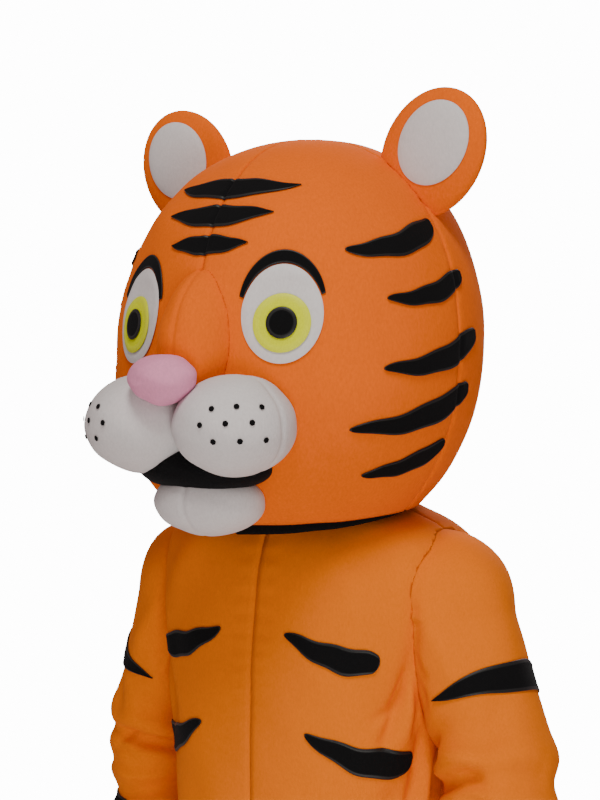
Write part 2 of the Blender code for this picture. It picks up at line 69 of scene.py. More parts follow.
# sewn shapes: the gap between layers, and shares of a shape's half width from its middle
LAYER_GAP = 0.0006
THREAD_FROM = 0.74
THREAD_FULL = 0.82
CORD_MIDDLE = 0.87
CORD_WIDTH = 0.07
CORD_RISE = 0.30
ROUND_SHARE = 0.05
NEAR_MIDDLE = 0.02
ACROSS_COUNT = 13

# how finely the bodies that cut others are drawn, in degrees and metres
ROOM_TURN = 3.0
TORSO_ROOM_TURN = 1.5
ROOM_STEP = 0.004


class Side(Enum):
    """A side of the costume, from its wearer's view."""

    LEFT = 1
    RIGHT = -1

    @property
    def label(self) -> str:
        """The side's word in a node's name."""
        return "Left" if self is Side.LEFT else "Right"

    def named(self, name: str) -> str:
        """A name with the side's word after it."""
        return name + "_" + self.label


class Hold(Enum):
    """How a piece of cloth is carried."""

    HUNG = "hung"
    STRETCHED = "stretched"


# Finishes


@dataclass(frozen=True)
class Fleece:
    """A short-pile cloth.

    Args:
        name: The material's name.
        colour: Its middle colour, linear.
        depth: How far the pile's colour is painted darker between the tufts, as a share: painted shade
            in the hollows of the tufts' bump, together with the cloth's slow uneven tone.
        sheen: The weight of the light that the pile catches at its edge.
        tint: The colour of that light.
        roughness: The shader's roughness.
        nap: How coarse the tufts are, in tufts to the metre.
        relief: The height of the tufts in metres.
        broad: How coarse the slow unevenness of the colour is.
        broad_share: How much of the colour's change is slow.
        lie: The scale of the tufts along Z, under 1 for a pile brushed down.
    """

    name: str
    colour: Triple
    depth: float = 0.12
    sheen: float = 0.06
    tint: Triple = (1.0, 0.45, 0.08)
    roughness: float = 0.9
    nap: float = 420.0
    relief: float = 0.0009
    broad: float = 7.0
    broad_share: float = 0.4
    lie: float = 0.55

    def shade(self, factor: float) -> tuple[float, float, float, float]:
        """The colour made darker or lighter by a factor."""
        red, green, blue = (min(value * factor, 1.0) for value in self.colour)
        return (red, green, blue, 1.0)

    def material(self) -> bpy.types.Material:
        """The cloth's material, made once.

        Returns:
            The material with this finish's name.
        """
        made = bpy.data.materials.get(self.name)
        if made:
            return made
        made = bpy.data.materials.new(self.name)
        made.use_nodes = True
        tree = made.node_tree
        shader = tree.nodes["Principled BSDF"]
        place = tree.nodes.new("ShaderNodeAttribute")
        place.attribute_name = EDGE
        self.over_edge(tree, place, shader.inputs["Roughness"], self.roughness, 0.5)
        self.over_edge(tree, place, shader.inputs["Specular IOR Level"], 0.1, 0.4)
        shader.inputs["Sheen Weight"].default_value = self.sheen
        shader.inputs["Sheen Roughness"].default_value = 0.45
        shader.inputs["Sheen Tint"].default_value = (*self.tint, 1.0)
        where = tree.nodes.new("ShaderNodeTexCoord")
        brushed = tree.nodes.new("ShaderNodeMapping")
        brushed.inputs["Scale"].default_value = (1.0, 1.0, self.lie)
        tree.links.new(where.outputs["Object"], brushed.inputs["Vector"])
        broad = self.noise(tree, brushed, self.broad, 2.0)
        tufts = self.noise(tree, brushed, self.nap, 3.0)
        pile = self.noise(tree, brushed, self.nap * 4, 1.0)
        mixed = tree.nodes.new("ShaderNodeMath")
        mixed.operation = "MULTIPLY_ADD"
        mixed.inputs[1].default_value = 1 - self.broad_share
        tree.links.new(tufts.outputs["Fac"], mixed.inputs[0])
        softened = tree.nodes.new("ShaderNodeMath")
        softened.operation = "MULTIPLY"
        softened.inputs[1].default_value = self.broad_share
        tree.links.new(broad.outputs["Fac"], softened.inputs[0])
        tree.links.new(softened.outputs["Value"], mixed.inputs[2])
        # Painted shade mixed with uneven tone: the colour is darkest where the tufts' bump is lowest,
        # between the tufts, and lighter on them.
        ramp = tree.nodes.new("ShaderNodeValToRGB")
        low, high = ramp.color_ramp.elements
        low.position, low.color = 0.30, self.shade(1 - self.depth)
        high.position, high.color = 0.70, self.shade(1 + self.depth * 0.5)
        tree.links.new(mixed.outputs["Value"], ramp.inputs["Fac"])
        tree.links.new(ramp.outputs["Color"], shader.inputs["Base Color"])
        coarse = self.bump(tree, tufts, self.relief, 0.35)
        self.over_edge(tree, place, coarse.inputs["Strength"], 0.35, 0.05)
        fine = self.bump(tree, pile, self.relief * 0.4, 0.3)
        tree.links.new(coarse.outputs["Normal"], fine.inputs["Normal"])
        tree.links.new(fine.outputs["Normal"], shader.inputs["Normal"])
        return made

    @staticmethod
    def over_edge(tree: bpy.types.NodeTree, place: bpy.types.Node, socket: bpy.types.NodeSocket,
                  inside: float, thread: float) -> None:
        """Gives a socket one value on the cloth and another on a patch's sewn edge.

        Args:
            tree: The material's nodes.
            place: The node that gives the nearness to the edge.
            socket: The socket.
            inside: Its value on the cloth.
            thread: Its value on the thread.
        """
        node = tree.nodes.new("ShaderNodeMapRange")
        node.inputs["From Min"].default_value = THREAD_FROM
        node.inputs["From Max"].default_value = THREAD_FULL
        node.inputs["To Min"].default_value = inside
        node.inputs["To Max"].default_value = thread
        tree.links.new(place.outputs["Fac"], node.inputs["Value"])
        tree.links.new(node.outputs["Result"], socket)

    @staticmethod
    def noise(tree: bpy.types.NodeTree, source: bpy.types.Node, scale: float,
              detail: float) -> bpy.types.Node:
        """A noise texture in the cloth's own place.

        Args:
            tree: The material's nodes.
            source: The node that gives the place.
            scale: The noise's scale.
            detail: The noise's detail.

        Returns:
            The noise node.
        """
        node = tree.nodes.new("ShaderNodeTexNoise")
        node.inputs["Scale"].default_value = scale
        node.inputs["Detail"].default_value = detail
        tree.links.new(source.outputs["Vector"], node.inputs["Vector"])
        return node

    @staticmethod
    def bump(tree: bpy.types.NodeTree, source: bpy.types.Node, height: float,
             strength: float) -> bpy.types.Node:
        """A bump from a noise.

        Args:
            tree: The material's nodes.
            source: The noise.
            height: The bump's height in metres.
            strength: Its strength.

        Returns:
            The bump node.
        """
        node = tree.nodes.new("ShaderNodeBump")
        node.inputs["Strength"].default_value = strength
        node.inputs["Distance"].default_value = height
        tree.links.new(source.outputs["Fac"], node.inputs["Height"])
        return node


ORANGE_HEAD = Fleece("Orange_Head_Fleece", (0.82, 0.135, 0.001))
ORANGE_SUIT = Fleece("Orange_Suit_Fleece", (0.80, 0.174, 0.001), depth=0.10, nap=520.0)
WHITE = Fleece("White_Fleece", (0.64, 0.61, 0.61), depth=0.10, tint=(1.0, 1.0, 1.0))
BLACK = Fleece("Black_Fleece", (0.004, 0.004, 0.0045), sheen=0.03, tint=(0.6, 0.6, 0.65))
PINK = Fleece("Pink_Nose_Fleece", (0.74, 0.29, 0.45), tint=(1.0, 0.85, 0.95))
IRIS = Fleece("Yellow_Green_Felt", (0.66, 0.72, 0.004), sheen=0.0, nap=700.0)


# Forms, the same as the CAD source's but with smooth stretches between their sections


def through(keys: Sequence[float], rows: Array, at: Array) -> Array:
    """A smooth line through a table's rows.

    Args:
        keys: The rows' places, rising.
        rows: The rows' values.
        at: The places asked for.

    Returns:
        One row of values for each place.
    """
    keys = np.asarray(keys, float)
    at = np.clip(np.asarray(at, float), keys[0], keys[-1])
    slopes = np.gradient(rows, keys, axis=0)
    index = np.clip(np.searchsorted(keys, at, side="right") - 1, 0, len(keys) - 2)
    gap = (keys[index + 1] - keys[index])[..., None]
    share = ((at - keys[index])[..., None]) / gap
    start, end = rows[index], rows[index + 1]
    leave, arrive = slopes[index] * gap, slopes[index + 1] * gap
    square, cube = share ** 2, share ** 3
    return ((2 * cube - 3 * square + 1) * start + (cube - 2 * square + share) * leave
            + (3 * square - 2 * cube) * end + (cube - square) * arrive)


def unit(vectors: Array) -> Array:
    """Vectors of length one."""
    length = np.linalg.norm(vectors, axis=-1, keepdims=True)
    return vectors / np.maximum(length, 1e-12)


def powered(value: Array, power: float) -> Array:
    """A value's size raised to a power, with its sign kept."""
    return np.sign(value) * np.abs(value) ** power


class Form:
    """A surface over an angle in degrees and a place along it."""

    steps: tuple[float, float] = (1.0, 0.002)
    metres_per_degree: float = 0.003

    def points(self, angle: Array, along: Array) -> Array:
        """Points of the surface."""
        raise NotImplementedError

    def normals(self, angle: Array, along: Array) -> Array:
        """The surface's directions out.

        Args:
            angle: Angles in degrees.
            along: Places along the form.

        Returns:
            Unit vectors.
        """
        turn, step = self.steps
        across = self.points(angle + turn, along) - self.points(angle - turn, along)
        up = self.points(angle, along + step) - self.points(angle, along - step)
        return unit(np.cross(across, up))


@dataclass
class HeadForm(Form):
    """The head's plain rounded form, over an angle and a height before the tilt."""

    half_width: float = 0.205
    depth_share: float = 0.94
    widest: float = 0.145
    top: float = 0.375
    rim: float = -0.028
    foot: float = -0.075
    roundness: float = 2.2
    axis_y: float = -0.04
    tilt: float = 0.10
    steps: tuple[float, float] = (1.0, 0.004)
    metres_per_degree: float = math.radians(1) * 0.2

    def rise(self, height: Array) -> Array:
        """The turn up from the widest height, in radians, for a height."""
        height = np.asarray(height, float)
        reach = np.where(height > self.widest, self.top - self.widest, self.widest - self.foot)
        share = np.clip((height - self.widest) / reach, -1, 1)
        return np.arcsin(powered(share, self.roundness / 2))

    def ring(self, rise: Array) -> tuple[Array, Array]:
        """The half width and the height at a turn up."""
        reach = np.where(rise > 0, self.top - self.widest, self.widest - self.foot)
        height = self.widest + reach * powered(np.sin(rise), 2 / self.roundness)
        width = self.half_width * np.abs(np.cos(rise)) ** (2 / self.roundness)
        return np.where(rise > math.pi / 2, -width, width), height

    def points(self, angle: Array, along: Array) -> Array:
        """Points over an angle and a turn up in radians."""
        width, height = self.ring(np.asarray(along, float))
        turn = np.radians(angle)
        back = -width * self.depth_share * np.cos(turn)
        return np.stack((width * np.sin(turn), self.axis_y + back, height + self.tilt * back), -1)

    def normals(self, angle: Array, along: Array) -> Array:
        """Directions out, taken just short of the crown, where the columns meet."""
        return super().normals(angle, np.minimum(along, math.pi / 2 - 0.01))


@dataclass
class TorsoForm(Form):
    """The suit's body, over an angle and a height."""

    # height, half_width, half_depth
    rings: tuple = (
        (-0.740, 0.190, 0.148),
        (-0.660, 0.185, 0.147),
        (-0.590, 0.178, 0.144),
        (-0.520, 0.170, 0.140),
        (-0.450, 0.164, 0.137),
        (-0.380, 0.161, 0.136),
        (-0.310, 0.163, 0.136),
        (-0.240, 0.170, 0.135),
        (-0.180, 0.180, 0.132),
        (-0.125, 0.188, 0.126),
        (-0.085, 0.188, 0.118),
        (-0.058, 0.176, 0.108),
        (-0.042, 0.150, 0.098),
        (-0.030, 0.118, 0.086),
        (-0.015, 0.085, 0.070),
    )
    power: float = 2 / 2.4
    steps: tuple[float, float] = (1.5, 0.004)
    metres_per_degree: float = math.radians(1) * 0.16

    def half_sizes(self, height: Array) -> Array:
        """The half width and half depth at a height."""
        table = np.array(self.rings)
        return through(table[:, 0], table[:, 1:], height)

    def points(self, angle: Array, along: Array) -> Array:
        """Points over an angle and a height."""
        angle, along = np.broadcast_arrays(np.asarray(angle, float), np.asarray(along, float))
        size = self.half_sizes(along)
        turn = np.radians(angle)
        out = size[..., 0] * powered(np.sin(turn), self.power)
        back = -size[..., 1] * powered(np.cos(turn), self.power)
        return np.stack((out, back, along), -1)

    def depth_in(self, points: Array) -> Array:
        """How far inside the body points are: over 1 is outside."""
        size = self.half_sizes(points[..., 2])
        curve = 2 / self.power
        return (np.abs(points[..., 0] / size[..., 0]) ** curve
                + np.abs(points[..., 1] / size[..., 1]) ** curve)


@dataclass
class SleeveForm(Form):
    """One sleeve, over an angle, 0 on its outer side and 90 in front, and metres along it."""

    side: Side = Side.LEFT
    # out, left_back, right_back, height, half_across, half_depth
    rings: tuple = (
        (0.100, 0.000, 0.000, -0.113, 0.063, 0.071),
        (0.142, 0.000, 0.000, -0.113, 0.067, 0.074),
        (0.170, 0.001, -0.001, -0.122, 0.067, 0.073),
        (0.179, 0.000, -0.002, -0.152, 0.064, 0.070),
        (0.196, -0.004, 0.003, -0.193, 0.063, 0.068),
        (0.214, -0.009, 0.010, -0.235, 0.061, 0.066),
        (0.232, -0.015, 0.015, -0.272, 0.060, 0.064),
        (0.239, -0.018, 0.018, -0.292, 0.064, 0.068),
        (0.241, -0.020, 0.020, -0.309, 0.059, 0.063),
        (0.242, -0.022, 0.021, -0.327, 0.063, 0.067),
        (0.243, -0.026, 0.021, -0.352, 0.057, 0.061),
        (0.244, -0.039, 0.016, -0.408, 0.055, 0.059),
        (0.243, -0.059, 0.002, -0.477, 0.052, 0.056),
        (0.239, -0.081, -0.016, -0.545, 0.049, 0.052),
        (0.236, -0.092, -0.026, -0.579, 0.048, 0.051),
    )
    steps: tuple[float, float] = (1.5, 0.004)
    metres_per_degree: float = math.radians(1) * 0.062
    ease: float = 0.02
    lines: Array = field(init=False)
    reaches: Array = field(init=False)

    def __post_init__(self) -> None:
        """Works out the middle line and the length along it at each ring."""
        table = np.array(self.rings)
        back = table[:, 1] if self.side is Side.LEFT else table[:, 2]
        middle = np.stack((self.side.value * table[:, 0], back, table[:, 3]), -1)
        gaps = np.linalg.norm(np.diff(middle, axis=0), axis=1)
        self.reaches = np.concatenate(([0.0], np.cumsum(gaps)))
        self.lines = np.concatenate((middle, table[:, 4:]), axis=1)

    @property
    def length(self) -> float:
        """The sleeve's length along its middle."""
        return float(self.reaches[-1])

    def reach_of(self, travel: float) -> float:
        """The metres along the sleeve at a place counted in rings."""
        return float(np.interp(travel, range(len(self.reaches)), self.reaches))

    def points(self, angle: Array, along: Array) -> Array:
        """Points over an angle and metres along."""
        angle, along = np.broadcast_arrays(np.asarray(angle, float), np.asarray(along, float))
        here = through(self.reaches, self.lines, along)
        before = through(self.reaches, self.lines[:, :3], along - self.ease)
        after = through(self.reaches, self.lines[:, :3], along + self.ease)
        down = unit(after - before)
        back = np.zeros_like(down)
        back[..., 1] = 1
        back = unit(back - down * np.sum(back * down, -1, keepdims=True))
        outward = np.cross(back, down) * self.side.value
        wrong = outward[..., 0] * self.side.value + outward[..., 2] < 0
        outward[wrong] *= -1
        turn = np.radians(angle)
        cosine, sine = np.cos(turn)[..., None], np.sin(turn)[..., None]
        return (here[..., :3] + outward * here[..., 3:4] * cosine
                - back * here[..., 4:5] * sine * self.side.value)


@dataclass
class LegForm(Form):
    """One leg, a D below the body that rounds to a circle at the hem."""

    side: Side = Side.LEFT
    torso: TorsoForm = field(default_factory=TorsoForm)
    top: float = -0.740
    hem: float = -1.420
    hem_centre: float = 0.110
    hem_radius: float = 0.088
    inner_gap: float = 0.002
    steps: tuple[float, float] = (1.5, 0.004)
    metres_per_degree: float = math.radians(1) * 0.095

    def points(self, angle: Array, along: Array) -> Array:
        """Points over an angle and a height."""
        angle, along = np.broadcast_arrays(np.asarray(angle, float), np.asarray(along, float))
        share = np.clip((self.top - along) / (self.top - self.hem), 0, 1)
        ease = 1 - (1 - share) ** 2
        start = self.torso.points(angle, np.full(angle.shape, self.top))
        out_top = np.maximum(self.side.value * start[..., 0], self.inner_gap)
        turn = np.radians(angle)
        out_hem = self.hem_centre + self.hem_radius * np.sin(turn) * self.side.value
        out = out_top + (out_hem - out_top) * ease
        back_hem = -self.hem_radius * np.cos(turn)
        back = start[..., 1] + (back_hem - start[..., 1]) * ease
        return np.stack((self.side.value * out, back, along), -1)


# Folds, seams and the cloth that carries them


@dataclass(frozen=True)
class Fold:
    """A soft crease, with a low wave of the other sign beside it.

    Args:
        start_angle: The angle where it begins.
        start: The place along the form where it begins.
        end_angle: The angle where it ends.
        end: The place along where it ends.
        bow: How far its middle swings to one side, in metres.
        width: Half its width in metres.
        height: Its height in metres, below 0 for a trough.
    """

    start_angle: float
    start: float
    end_angle: float
    end: float
    bow: float
    width: float
    height: float

    def height_at(self, angle: Array, along: Array, per_degree: float, scale: float) -> Array:
        """The fold's height over the cloth.

        Args:
            angle: Angles in degrees.
            along: Places along the form.
            per_degree: Metres to a degree.
            scale: Metres to a unit of place.

        Returns:
            Heights in metres.
        """
        run = np.array((turned(self.end_angle - self.start_angle) * per_degree,
                        (self.end - self.start) * scale))
        length = float(np.hypot(*run))
        ahead = run / length
        across = turned(angle - self.start_angle) * per_degree
        up = (along - self.start) * scale
        share = (across * ahead[0] + up * ahead[1]) / length
        inside = np.clip(share, 0, 1)
        off = -across * ahead[1] + up * ahead[0] - self.bow * np.sin(math.pi * inside)
        past = (share - inside) * length
        taper = 0.35 + 0.65 * np.sin(math.pi * np.clip(inside * 0.86 + 0.1, 0, 1))
        ridge = np.exp(-(np.hypot(off, past) / self.width) ** 2)
        beside = np.exp(-((off - 1.9 * self.width) ** 2 + past ** 2) / (1.5 * self.width) ** 2)
        return self.height * taper * (ridge - 0.45 * beside)

    def mirrored(self, drift: float, turn: float = 0.0, grown: float = 1.0) -> "Fold":
        """The like fold on the other side, moved a little so that the two aren't twins.

        Args:
            drift: How far its ends move along the form, towards each other.
            turn: How far its start turns, in degrees.
            grown: How much larger it is, as a factor.

        Returns:
            The fold.
        """
        return Fold(turn - self.start_angle, self.start + drift, -self.end_angle,
                    self.end - drift, -self.bow * grown, self.width * grown, self.height * grown)


def folds_of(rows: Sequence[tuple]) -> list[Fold]:
    """The folds in a table whose columns are a fold's fields."""
    return [Fold(*row) for row in rows]


@dataclass(frozen=True)
class SeamLine:
    """A sewn line that pulls the cloth in.

    Args:
        angle: The seam's angle, or None for a ring.
        along: The ring's place along the form, or None for a line.
        depth: How deep the cloth is pulled in, in metres.
        width: Half the groove's width in metres.
        pucker: The height of the small gathers beside it, in metres.
        spacing: The distance between gathers in metres.
    """

    angle: Optional[float] = None
    along: Optional[float] = None
    depth: float = 0.0016
    width: float = 0.0035
    pucker: float = 0.0006
    spacing: float = 0.019

    def height_at(self, angle: Array, along: Array, per_degree: float, scale: float) -> Array:
        """The seam's height over the cloth: a groove with small gathers beside it.

        Args:
            angle: Angles in degrees.
            along: Places along the form.
            per_degree: Metres to a degree.
            scale: Metres to a unit of place.

        Returns:
            Heights in metres.
        """
        if self.angle is None:
            away, run = (along - self.along) * scale, angle * per_degree
        else:
            away, run = turned(angle - self.angle) * per_degree, along * scale
        groove = -self.depth * np.exp(-(away / self.width) ** 2)
        wave = np.sin(2 * math.pi * run / self.spacing + 1.3 * np.sin(run * 31))
        reach = np.exp(-((np.abs(away) - 2.2 * self.width) / (1.8 * self.width)) ** 2)
        return groove + self.pucker * wave * reach


def turned(angle: Array) -> Array:
    """An angle's difference brought to between -180 and 180."""
    return (angle + 180) % 360 - 180


@dataclass
class Cloth:
    """A form dressed with folds and seams.

    Args:
        form: The form that the cloth follows.
        folds: Its creases.
        seams: Its sewn lines.
        scale: Metres to one unit of the form's second place.
        ripple: The height of the cloth's slow unevenness, in metres.
        edge: Points of a sewn edge in space, such as an armhole, or None.
        joint: The place along the form of a level sewn edge, or None.
        edge_depth: How deep a sewn edge is drawn in, in metres.
        edge_width: How far the drawing in reaches, in metres.
    """

    form: Form
    folds: Sequence[Fold] = ()
    seams: Sequence[SeamLine] = ()
    scale: float = 1.0
    ripple: float = 0.0008
    edge: Optional[KDTree] = None
    joint: Optional[float] = None
    edge_depth: float = 0.0016
    edge_width: float = 0.008

    def height(self, angle: Array, along: Array, base: Array) -> Array:
        """The cloth's height over its form.

        Args:
            angle: Angles in degrees.
            along: Places along the form.
            base: The form's points there.

        Returns:
            Heights in metres.
        """
        total = np.zeros(base.shape[:-1])
        for line in (*self.folds, *self.seams):
            total += line.height_at(angle, along, self.form.metres_per_degree, self.scale)
        x, y, z = base[..., 0], base[..., 1], base[..., 2]
        broad = np.sin(x * 41 + 2.1 * np.sin(z * 17)) * np.sin(z * 29 + 1.7 * np.sin(y * 23))
        fine = np.sin(x * 83 + z * 61 + 2 * np.sin(y * 47))
        total += self.ripple * (broad + 0.5 * fine)
        if self.joint is not None:
            total = self.drawn_in(total, (along - self.joint) * self.scale)
        if self.edge is not None:
            flat = base.reshape(-1, 3)
            away = np.array([self.edge.find(point)[2] for point in flat]).reshape(total.shape)
            total = self.drawn_in(total, away)
        return total

    def drawn_in(self, total: Array, away: Array) -> Array:
        """Heights that calm down to a shallow groove at a sewn edge."""
        calm = 1 - np.exp(-(away / (1.5 * self.edge_width)) ** 2)
        return total * calm - self.edge_depth * np.exp(-(away / self.edge_width) ** 2)

    def flat(self, angle: Array, along: Array) -> Array:
        """Places on the flat cloth, in metres."""
        return np.stack((angle * self.form.metres_per_degree, along * self.scale), -1)

    def raised(self, angle: Array, along: Array, lift: float | Array) -> Array:
        """Points of the cloth moved out by a lift.

        Args:
            angle: Angles in degrees.
            along: Places along the form.
            lift: Metres out of the cloth's face.

        Returns:
            Points in space.
        """
        angle, along = np.broadcast_arrays(np.asarray(angle, float), np.asarray(along, float))
        base = self.form.points(angle, along)
        out = self.height(angle, along, base) + lift
        return base + self.form.normals(angle, along) * out[..., None]


# Meshes


def mesh_object(name: str, points: Array, faces: Sequence[Sequence[int]],
                uv: Optional[Array] = None, edge: Optional[Array] = None) -> bpy.types.Object:
    """A new smooth object.

    Args:
        name: The object's name.
        points: Its points.
        faces: Its faces, facing out.
        uv: One place in metres for each point, or None.
        edge: Each point's nearness to a sewn edge, or None.

    Returns:
        The object, at the origin.
    """
    mesh = bpy.data.meshes.new(name)
    mesh.from_pydata([tuple(point) for point in points], [], [tuple(face) for face in faces])
    mesh.validate()
    if uv is not None:
        layer = mesh.uv_layers.new(name="Cut")
        corners = np.empty(len(mesh.loops), dtype=np.int32)
        mesh.loops.foreach_get("vertex_index", corners)
        layer.data.foreach_set("uv", uv[corners].astype(np.float32).ravel())
    if edge is not None:
        nearness = mesh.attributes.new(EDGE, "FLOAT", "POINT")
        nearness.data.foreach_set("value", edge.astype(np.float32))
    mesh.shade_smooth()
    made = bpy.data.objects.new(name, mesh)
    bpy.context.scene.collection.objects.link(made)
    return made


def quads(rows: int, columns: int, closed: bool, first: int, flipped: bool) -> list[tuple]:
    """The faces of a grid of points.

    Args:
        rows: Rows of the grid.
        columns: Columns of the grid.
        closed: Whether the last column joins the first.
        first: The number of the first point.
        flipped: Whether the faces look the other way.

    Returns:
        The faces.
    """
    faces = []
    for row in range(rows - 1):
        for column in range(columns if closed else columns - 1):
            beside = (column + 1) % columns
            here, right = first + row * columns + column, first + row * columns + beside
            face = (here, right, right + columns, here + columns)
            faces.append(face[::-1] if flipped else face)
    return faces


def ball_grid(columns: int, rows: int) -> tuple[Array, Array]:
    """Points of a unit ball without its two poles.

    Args:
        columns: How many columns it has.
        rows: How many rows, bottom to top.

    Returns:
        Each point's turn from the front towards +X, in radians, and the points.
    """
    turn, rise = np.meshgrid(np.linspace(0, 2 * math.pi, columns, endpoint=False),
                             np.linspace(-math.pi / 2, math.pi / 2, rows + 2)[1:-1])
    ball = np.stack((np.cos(rise) * np.sin(turn), -np.cos(rise) * np.cos(turn), np.sin(rise)), -1)
    return turn, ball


def ball_faces(rows: int, columns: int, first: int = 0) -> list[tuple]:
    """The faces of a ball whose rows of points are followed by its lower and its upper pole."""
    faces = quads(rows, columns, True, first, False)
    low = first + rows * columns
    last = low - columns
    for column in range(columns):
        beside = (column + 1) % columns
        faces.append((first + beside, first + column, low))
        faces.append((last + column, last + beside, low + 1))
    return faces


def walled(name: str, outer: Array, inner: Array, closed: bool, uv: Array,
           edge: Optional[Array] = None) -> bpy.types.Object:
    """A closed wall between two matching grids.

    Args:
        name: The object's name.
        outer: The outer grid, rows by columns by 3, rows rising.
        inner: The inner grid.
        closed: Whether the columns go all round.
        uv: Each grid point's place on the flat cloth.
        edge: Each grid point's nearness to a sewn edge, or None.

    Returns:
        The object.
    """
    rows, columns = outer.shape[:2]
    count = rows * columns
    faces = quads(rows, columns, closed, 0, False) + quads(rows, columns, closed, count, True)
    last = (rows - 1) * columns
    for column in range(columns if closed else columns - 1):
        beside = (column + 1) % columns
        faces.append((column, count + column, count + beside, beside))
        faces.append((last + column, last + beside, count + last + beside, count + last + column))
    if not closed:
        for row in range(rows - 1):
            low, high = row * columns, (row + 1) * columns
            faces.append((low, high, count + high, count + low))
            end_low, end_high = low + columns - 1, high + columns - 1
            faces.append((end_low, count + end_low, count + end_high, end_high))
    points = np.concatenate((outer.reshape(-1, 3), inner.reshape(-1, 3)))
    near = None if edge is None else np.concatenate((edge.ravel(),) * 2)
    return mesh_object(name, points, faces, np.concatenate((uv.reshape(-1, 2),) * 2), near)


def lens(name: str, outer: Array, inner: Array, uv: Array,
         edge: Optional[Array] = None) -> bpy.types.Object:
    """A closed round sheet, its rows running from its edge to its middle.

    Args:
        name: The object's name.
        outer: The outer grid, rows by columns by 3.
        inner: The inner grid.
        uv: Each grid point's place on the flat cloth.
        edge: Each grid point's nearness to a sewn edge, or None.

    Returns:
        The object.
    """
    rows, columns = outer.shape[:2]
    count = rows * columns
    points = np.concatenate((outer.reshape(-1, 3), inner.reshape(-1, 3),
                             outer[-1].mean(axis=0)[None], inner[-1].mean(axis=0)[None]))
    faces = quads(rows, columns, True, 0, False) + quads(rows, columns, True, count, True)
    last = (rows - 1) * columns
    for column in range(columns):
        beside = (column + 1) % columns
        faces.append((column, count + column, count + beside, beside))
        faces.append((last + column, last + beside, 2 * count))
        faces.append((count + last + beside, count + last + column, 2 * count + 1))
    flat = uv.reshape(-1, 2)
    middle = uv[-1].mean(axis=0)[None]
    near = None if edge is None else np.concatenate((edge.ravel(), edge.ravel(), (0, 0)))
    return mesh_object(name, points, faces, np.concatenate((flat, flat, middle, middle)), near)


def row_length(grid: Array, closed: bool) -> float:
    """The longest row of a grid, in metres."""
    line = np.concatenate((grid, grid[:, :1]), axis=1) if closed else grid
    return float(np.linalg.norm(np.diff(line, axis=1), axis=-1).sum(axis=1).max())


def grid_area(grid: Array, closed: bool) -> float:
    """The area of a grid, in square metres."""
    line = np.concatenate((grid, grid[:, :1]), axis=1) if closed else grid
    one, two = line[1:, 1:] - line[:-1, :-1], line[1:, :-1] - line[:-1, 1:]
    return float(np.linalg.norm(np.cross(one, two), axis=-1).sum() / 2)


ROOMS: list[bpy.types.Object] = []


def as_room(body: bpy.types.Object) -> bpy.types.Object:
    """Marks a body as one that only cuts others."""
    body.hide_render = True
    ROOMS.append(body)
    return body


def remove_rooms() -> None:
    """Removes the bodies that only cut others."""
    for room in ROOMS:
        bpy.data.objects.remove(room, do_unlink=True)
    ROOMS.clear()


def closed_body(name: str, cloth: Cloth, angles: Array, alongs: Array,
                lift: float) -> bpy.types.Object:
    """The full body inside a dressed form, for cutting others.

    Args:
        name: The body's name.
        cloth: The dressed form.
        angles: Its columns, all round.
        alongs: Its rows.
        lift: How far it stands off the form.

    Returns:
        The body.
    """
    angle, along = np.meshgrid(angles, alongs)
    grid = cloth.raised(angle, along, lift)
    rows, columns = grid.shape[:2]
    faces = quads(rows, columns, True, 0, False)
    faces.append(tuple(range(columns))[::-1])
    faces.append(tuple(range((rows - 1) * columns, rows * columns)))
    return as_room(mesh_object(name, grid.reshape(-1, 3), faces))


def apply_modifiers(piece: bpy.types.Object) -> None:
    """Makes a piece's modifiers part of its mesh."""
    bpy.ops.object.select_all(action="DESELECT")
    piece.select_set(True)
    bpy.context.view_layer.objects.active = piece
    for modifier in list(piece.modifiers):
        bpy.ops.object.modifier_apply(modifier=modifier.name)


def cut_away(piece: bpy.types.Object, rooms: Sequence[bpy.types.Object]) -> None:
    """Takes closed bodies out of a piece.

    Args:
        piece: The piece.
        rooms: The bodies to take out.
    """
    for room in rooms:
        modifier = piece.modifiers.new("Room", "BOOLEAN")
        modifier.operation = "DIFFERENCE"
        modifier.solver = "EXACT"
        modifier.object = room
    apply_modifiers(piece)


@dataclass
class Dresser:
    """Gives pieces their finish, their body and what they stand for."""

    counted: int = 0

    def dress(self, piece: bpy.types.Object, finish: Fleece, *nodes: str) -> bpy.types.Object:
        """Finishes one piece.

        Args:
            piece: The piece.
            finish: Its cloth.
            nodes: The CAD nodes that it stands for.

        Returns:
            The piece.
        """
        piece.name = piece.name.partition(".")[0] + DRESSED
        piece.data.name = piece.name
        piece.data.materials.clear()
        piece.data.materials.append(finish.material())
        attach(piece, "root")
        if nodes:
            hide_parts(*nodes)
        self.counted += 1
        LOG.info("%s: %d faces", piece.name, len(piece.data.polygons))
        return piece

    @staticmethod
    def declare(piece: bpy.types.Object, grid: Array, closed: bool, hold: Hold,
                rests_on: Sequence[str] = (), flat: Optional[tuple[float, float]] = None,
                holed: bool = False) -> None:
        """Works out a cloth sheet's flat size and area by its flat cut, and keeps neither.

        Args:
            piece: The piece.
            grid: Its outer face before anything is cut from it.
            closed: Whether it goes all round.
            hold: Not used.
            rests_on: Not used.
            flat: Its flat width and length, or None to measure them on the grid.
            holed: Whether something was cut from it, so that both its faces give its area.
        """
        flat = flat or (row_length(grid, closed), row_length(np.swapaxes(grid, 0, 1), False))
        area = min(grid_area(grid, closed), flat[0] * flat[1])
        if holed:
            area = min(area, sum(face.area for face in piece.data.polygons) / 2)


DRESSER = Dresser()


def evenly(low: float, high: float, step: float) -> Array:
    """Values from low to high, about a step apart."""
    return np.linspace(low, high, max(2, int(round(abs(high - low) / step)) + 1))


def all_round(step: float) -> Array:
    """Angles of a full turn, about a step apart, without the last one, which is the first."""
    return evenly(0, 360, step)[:-1]


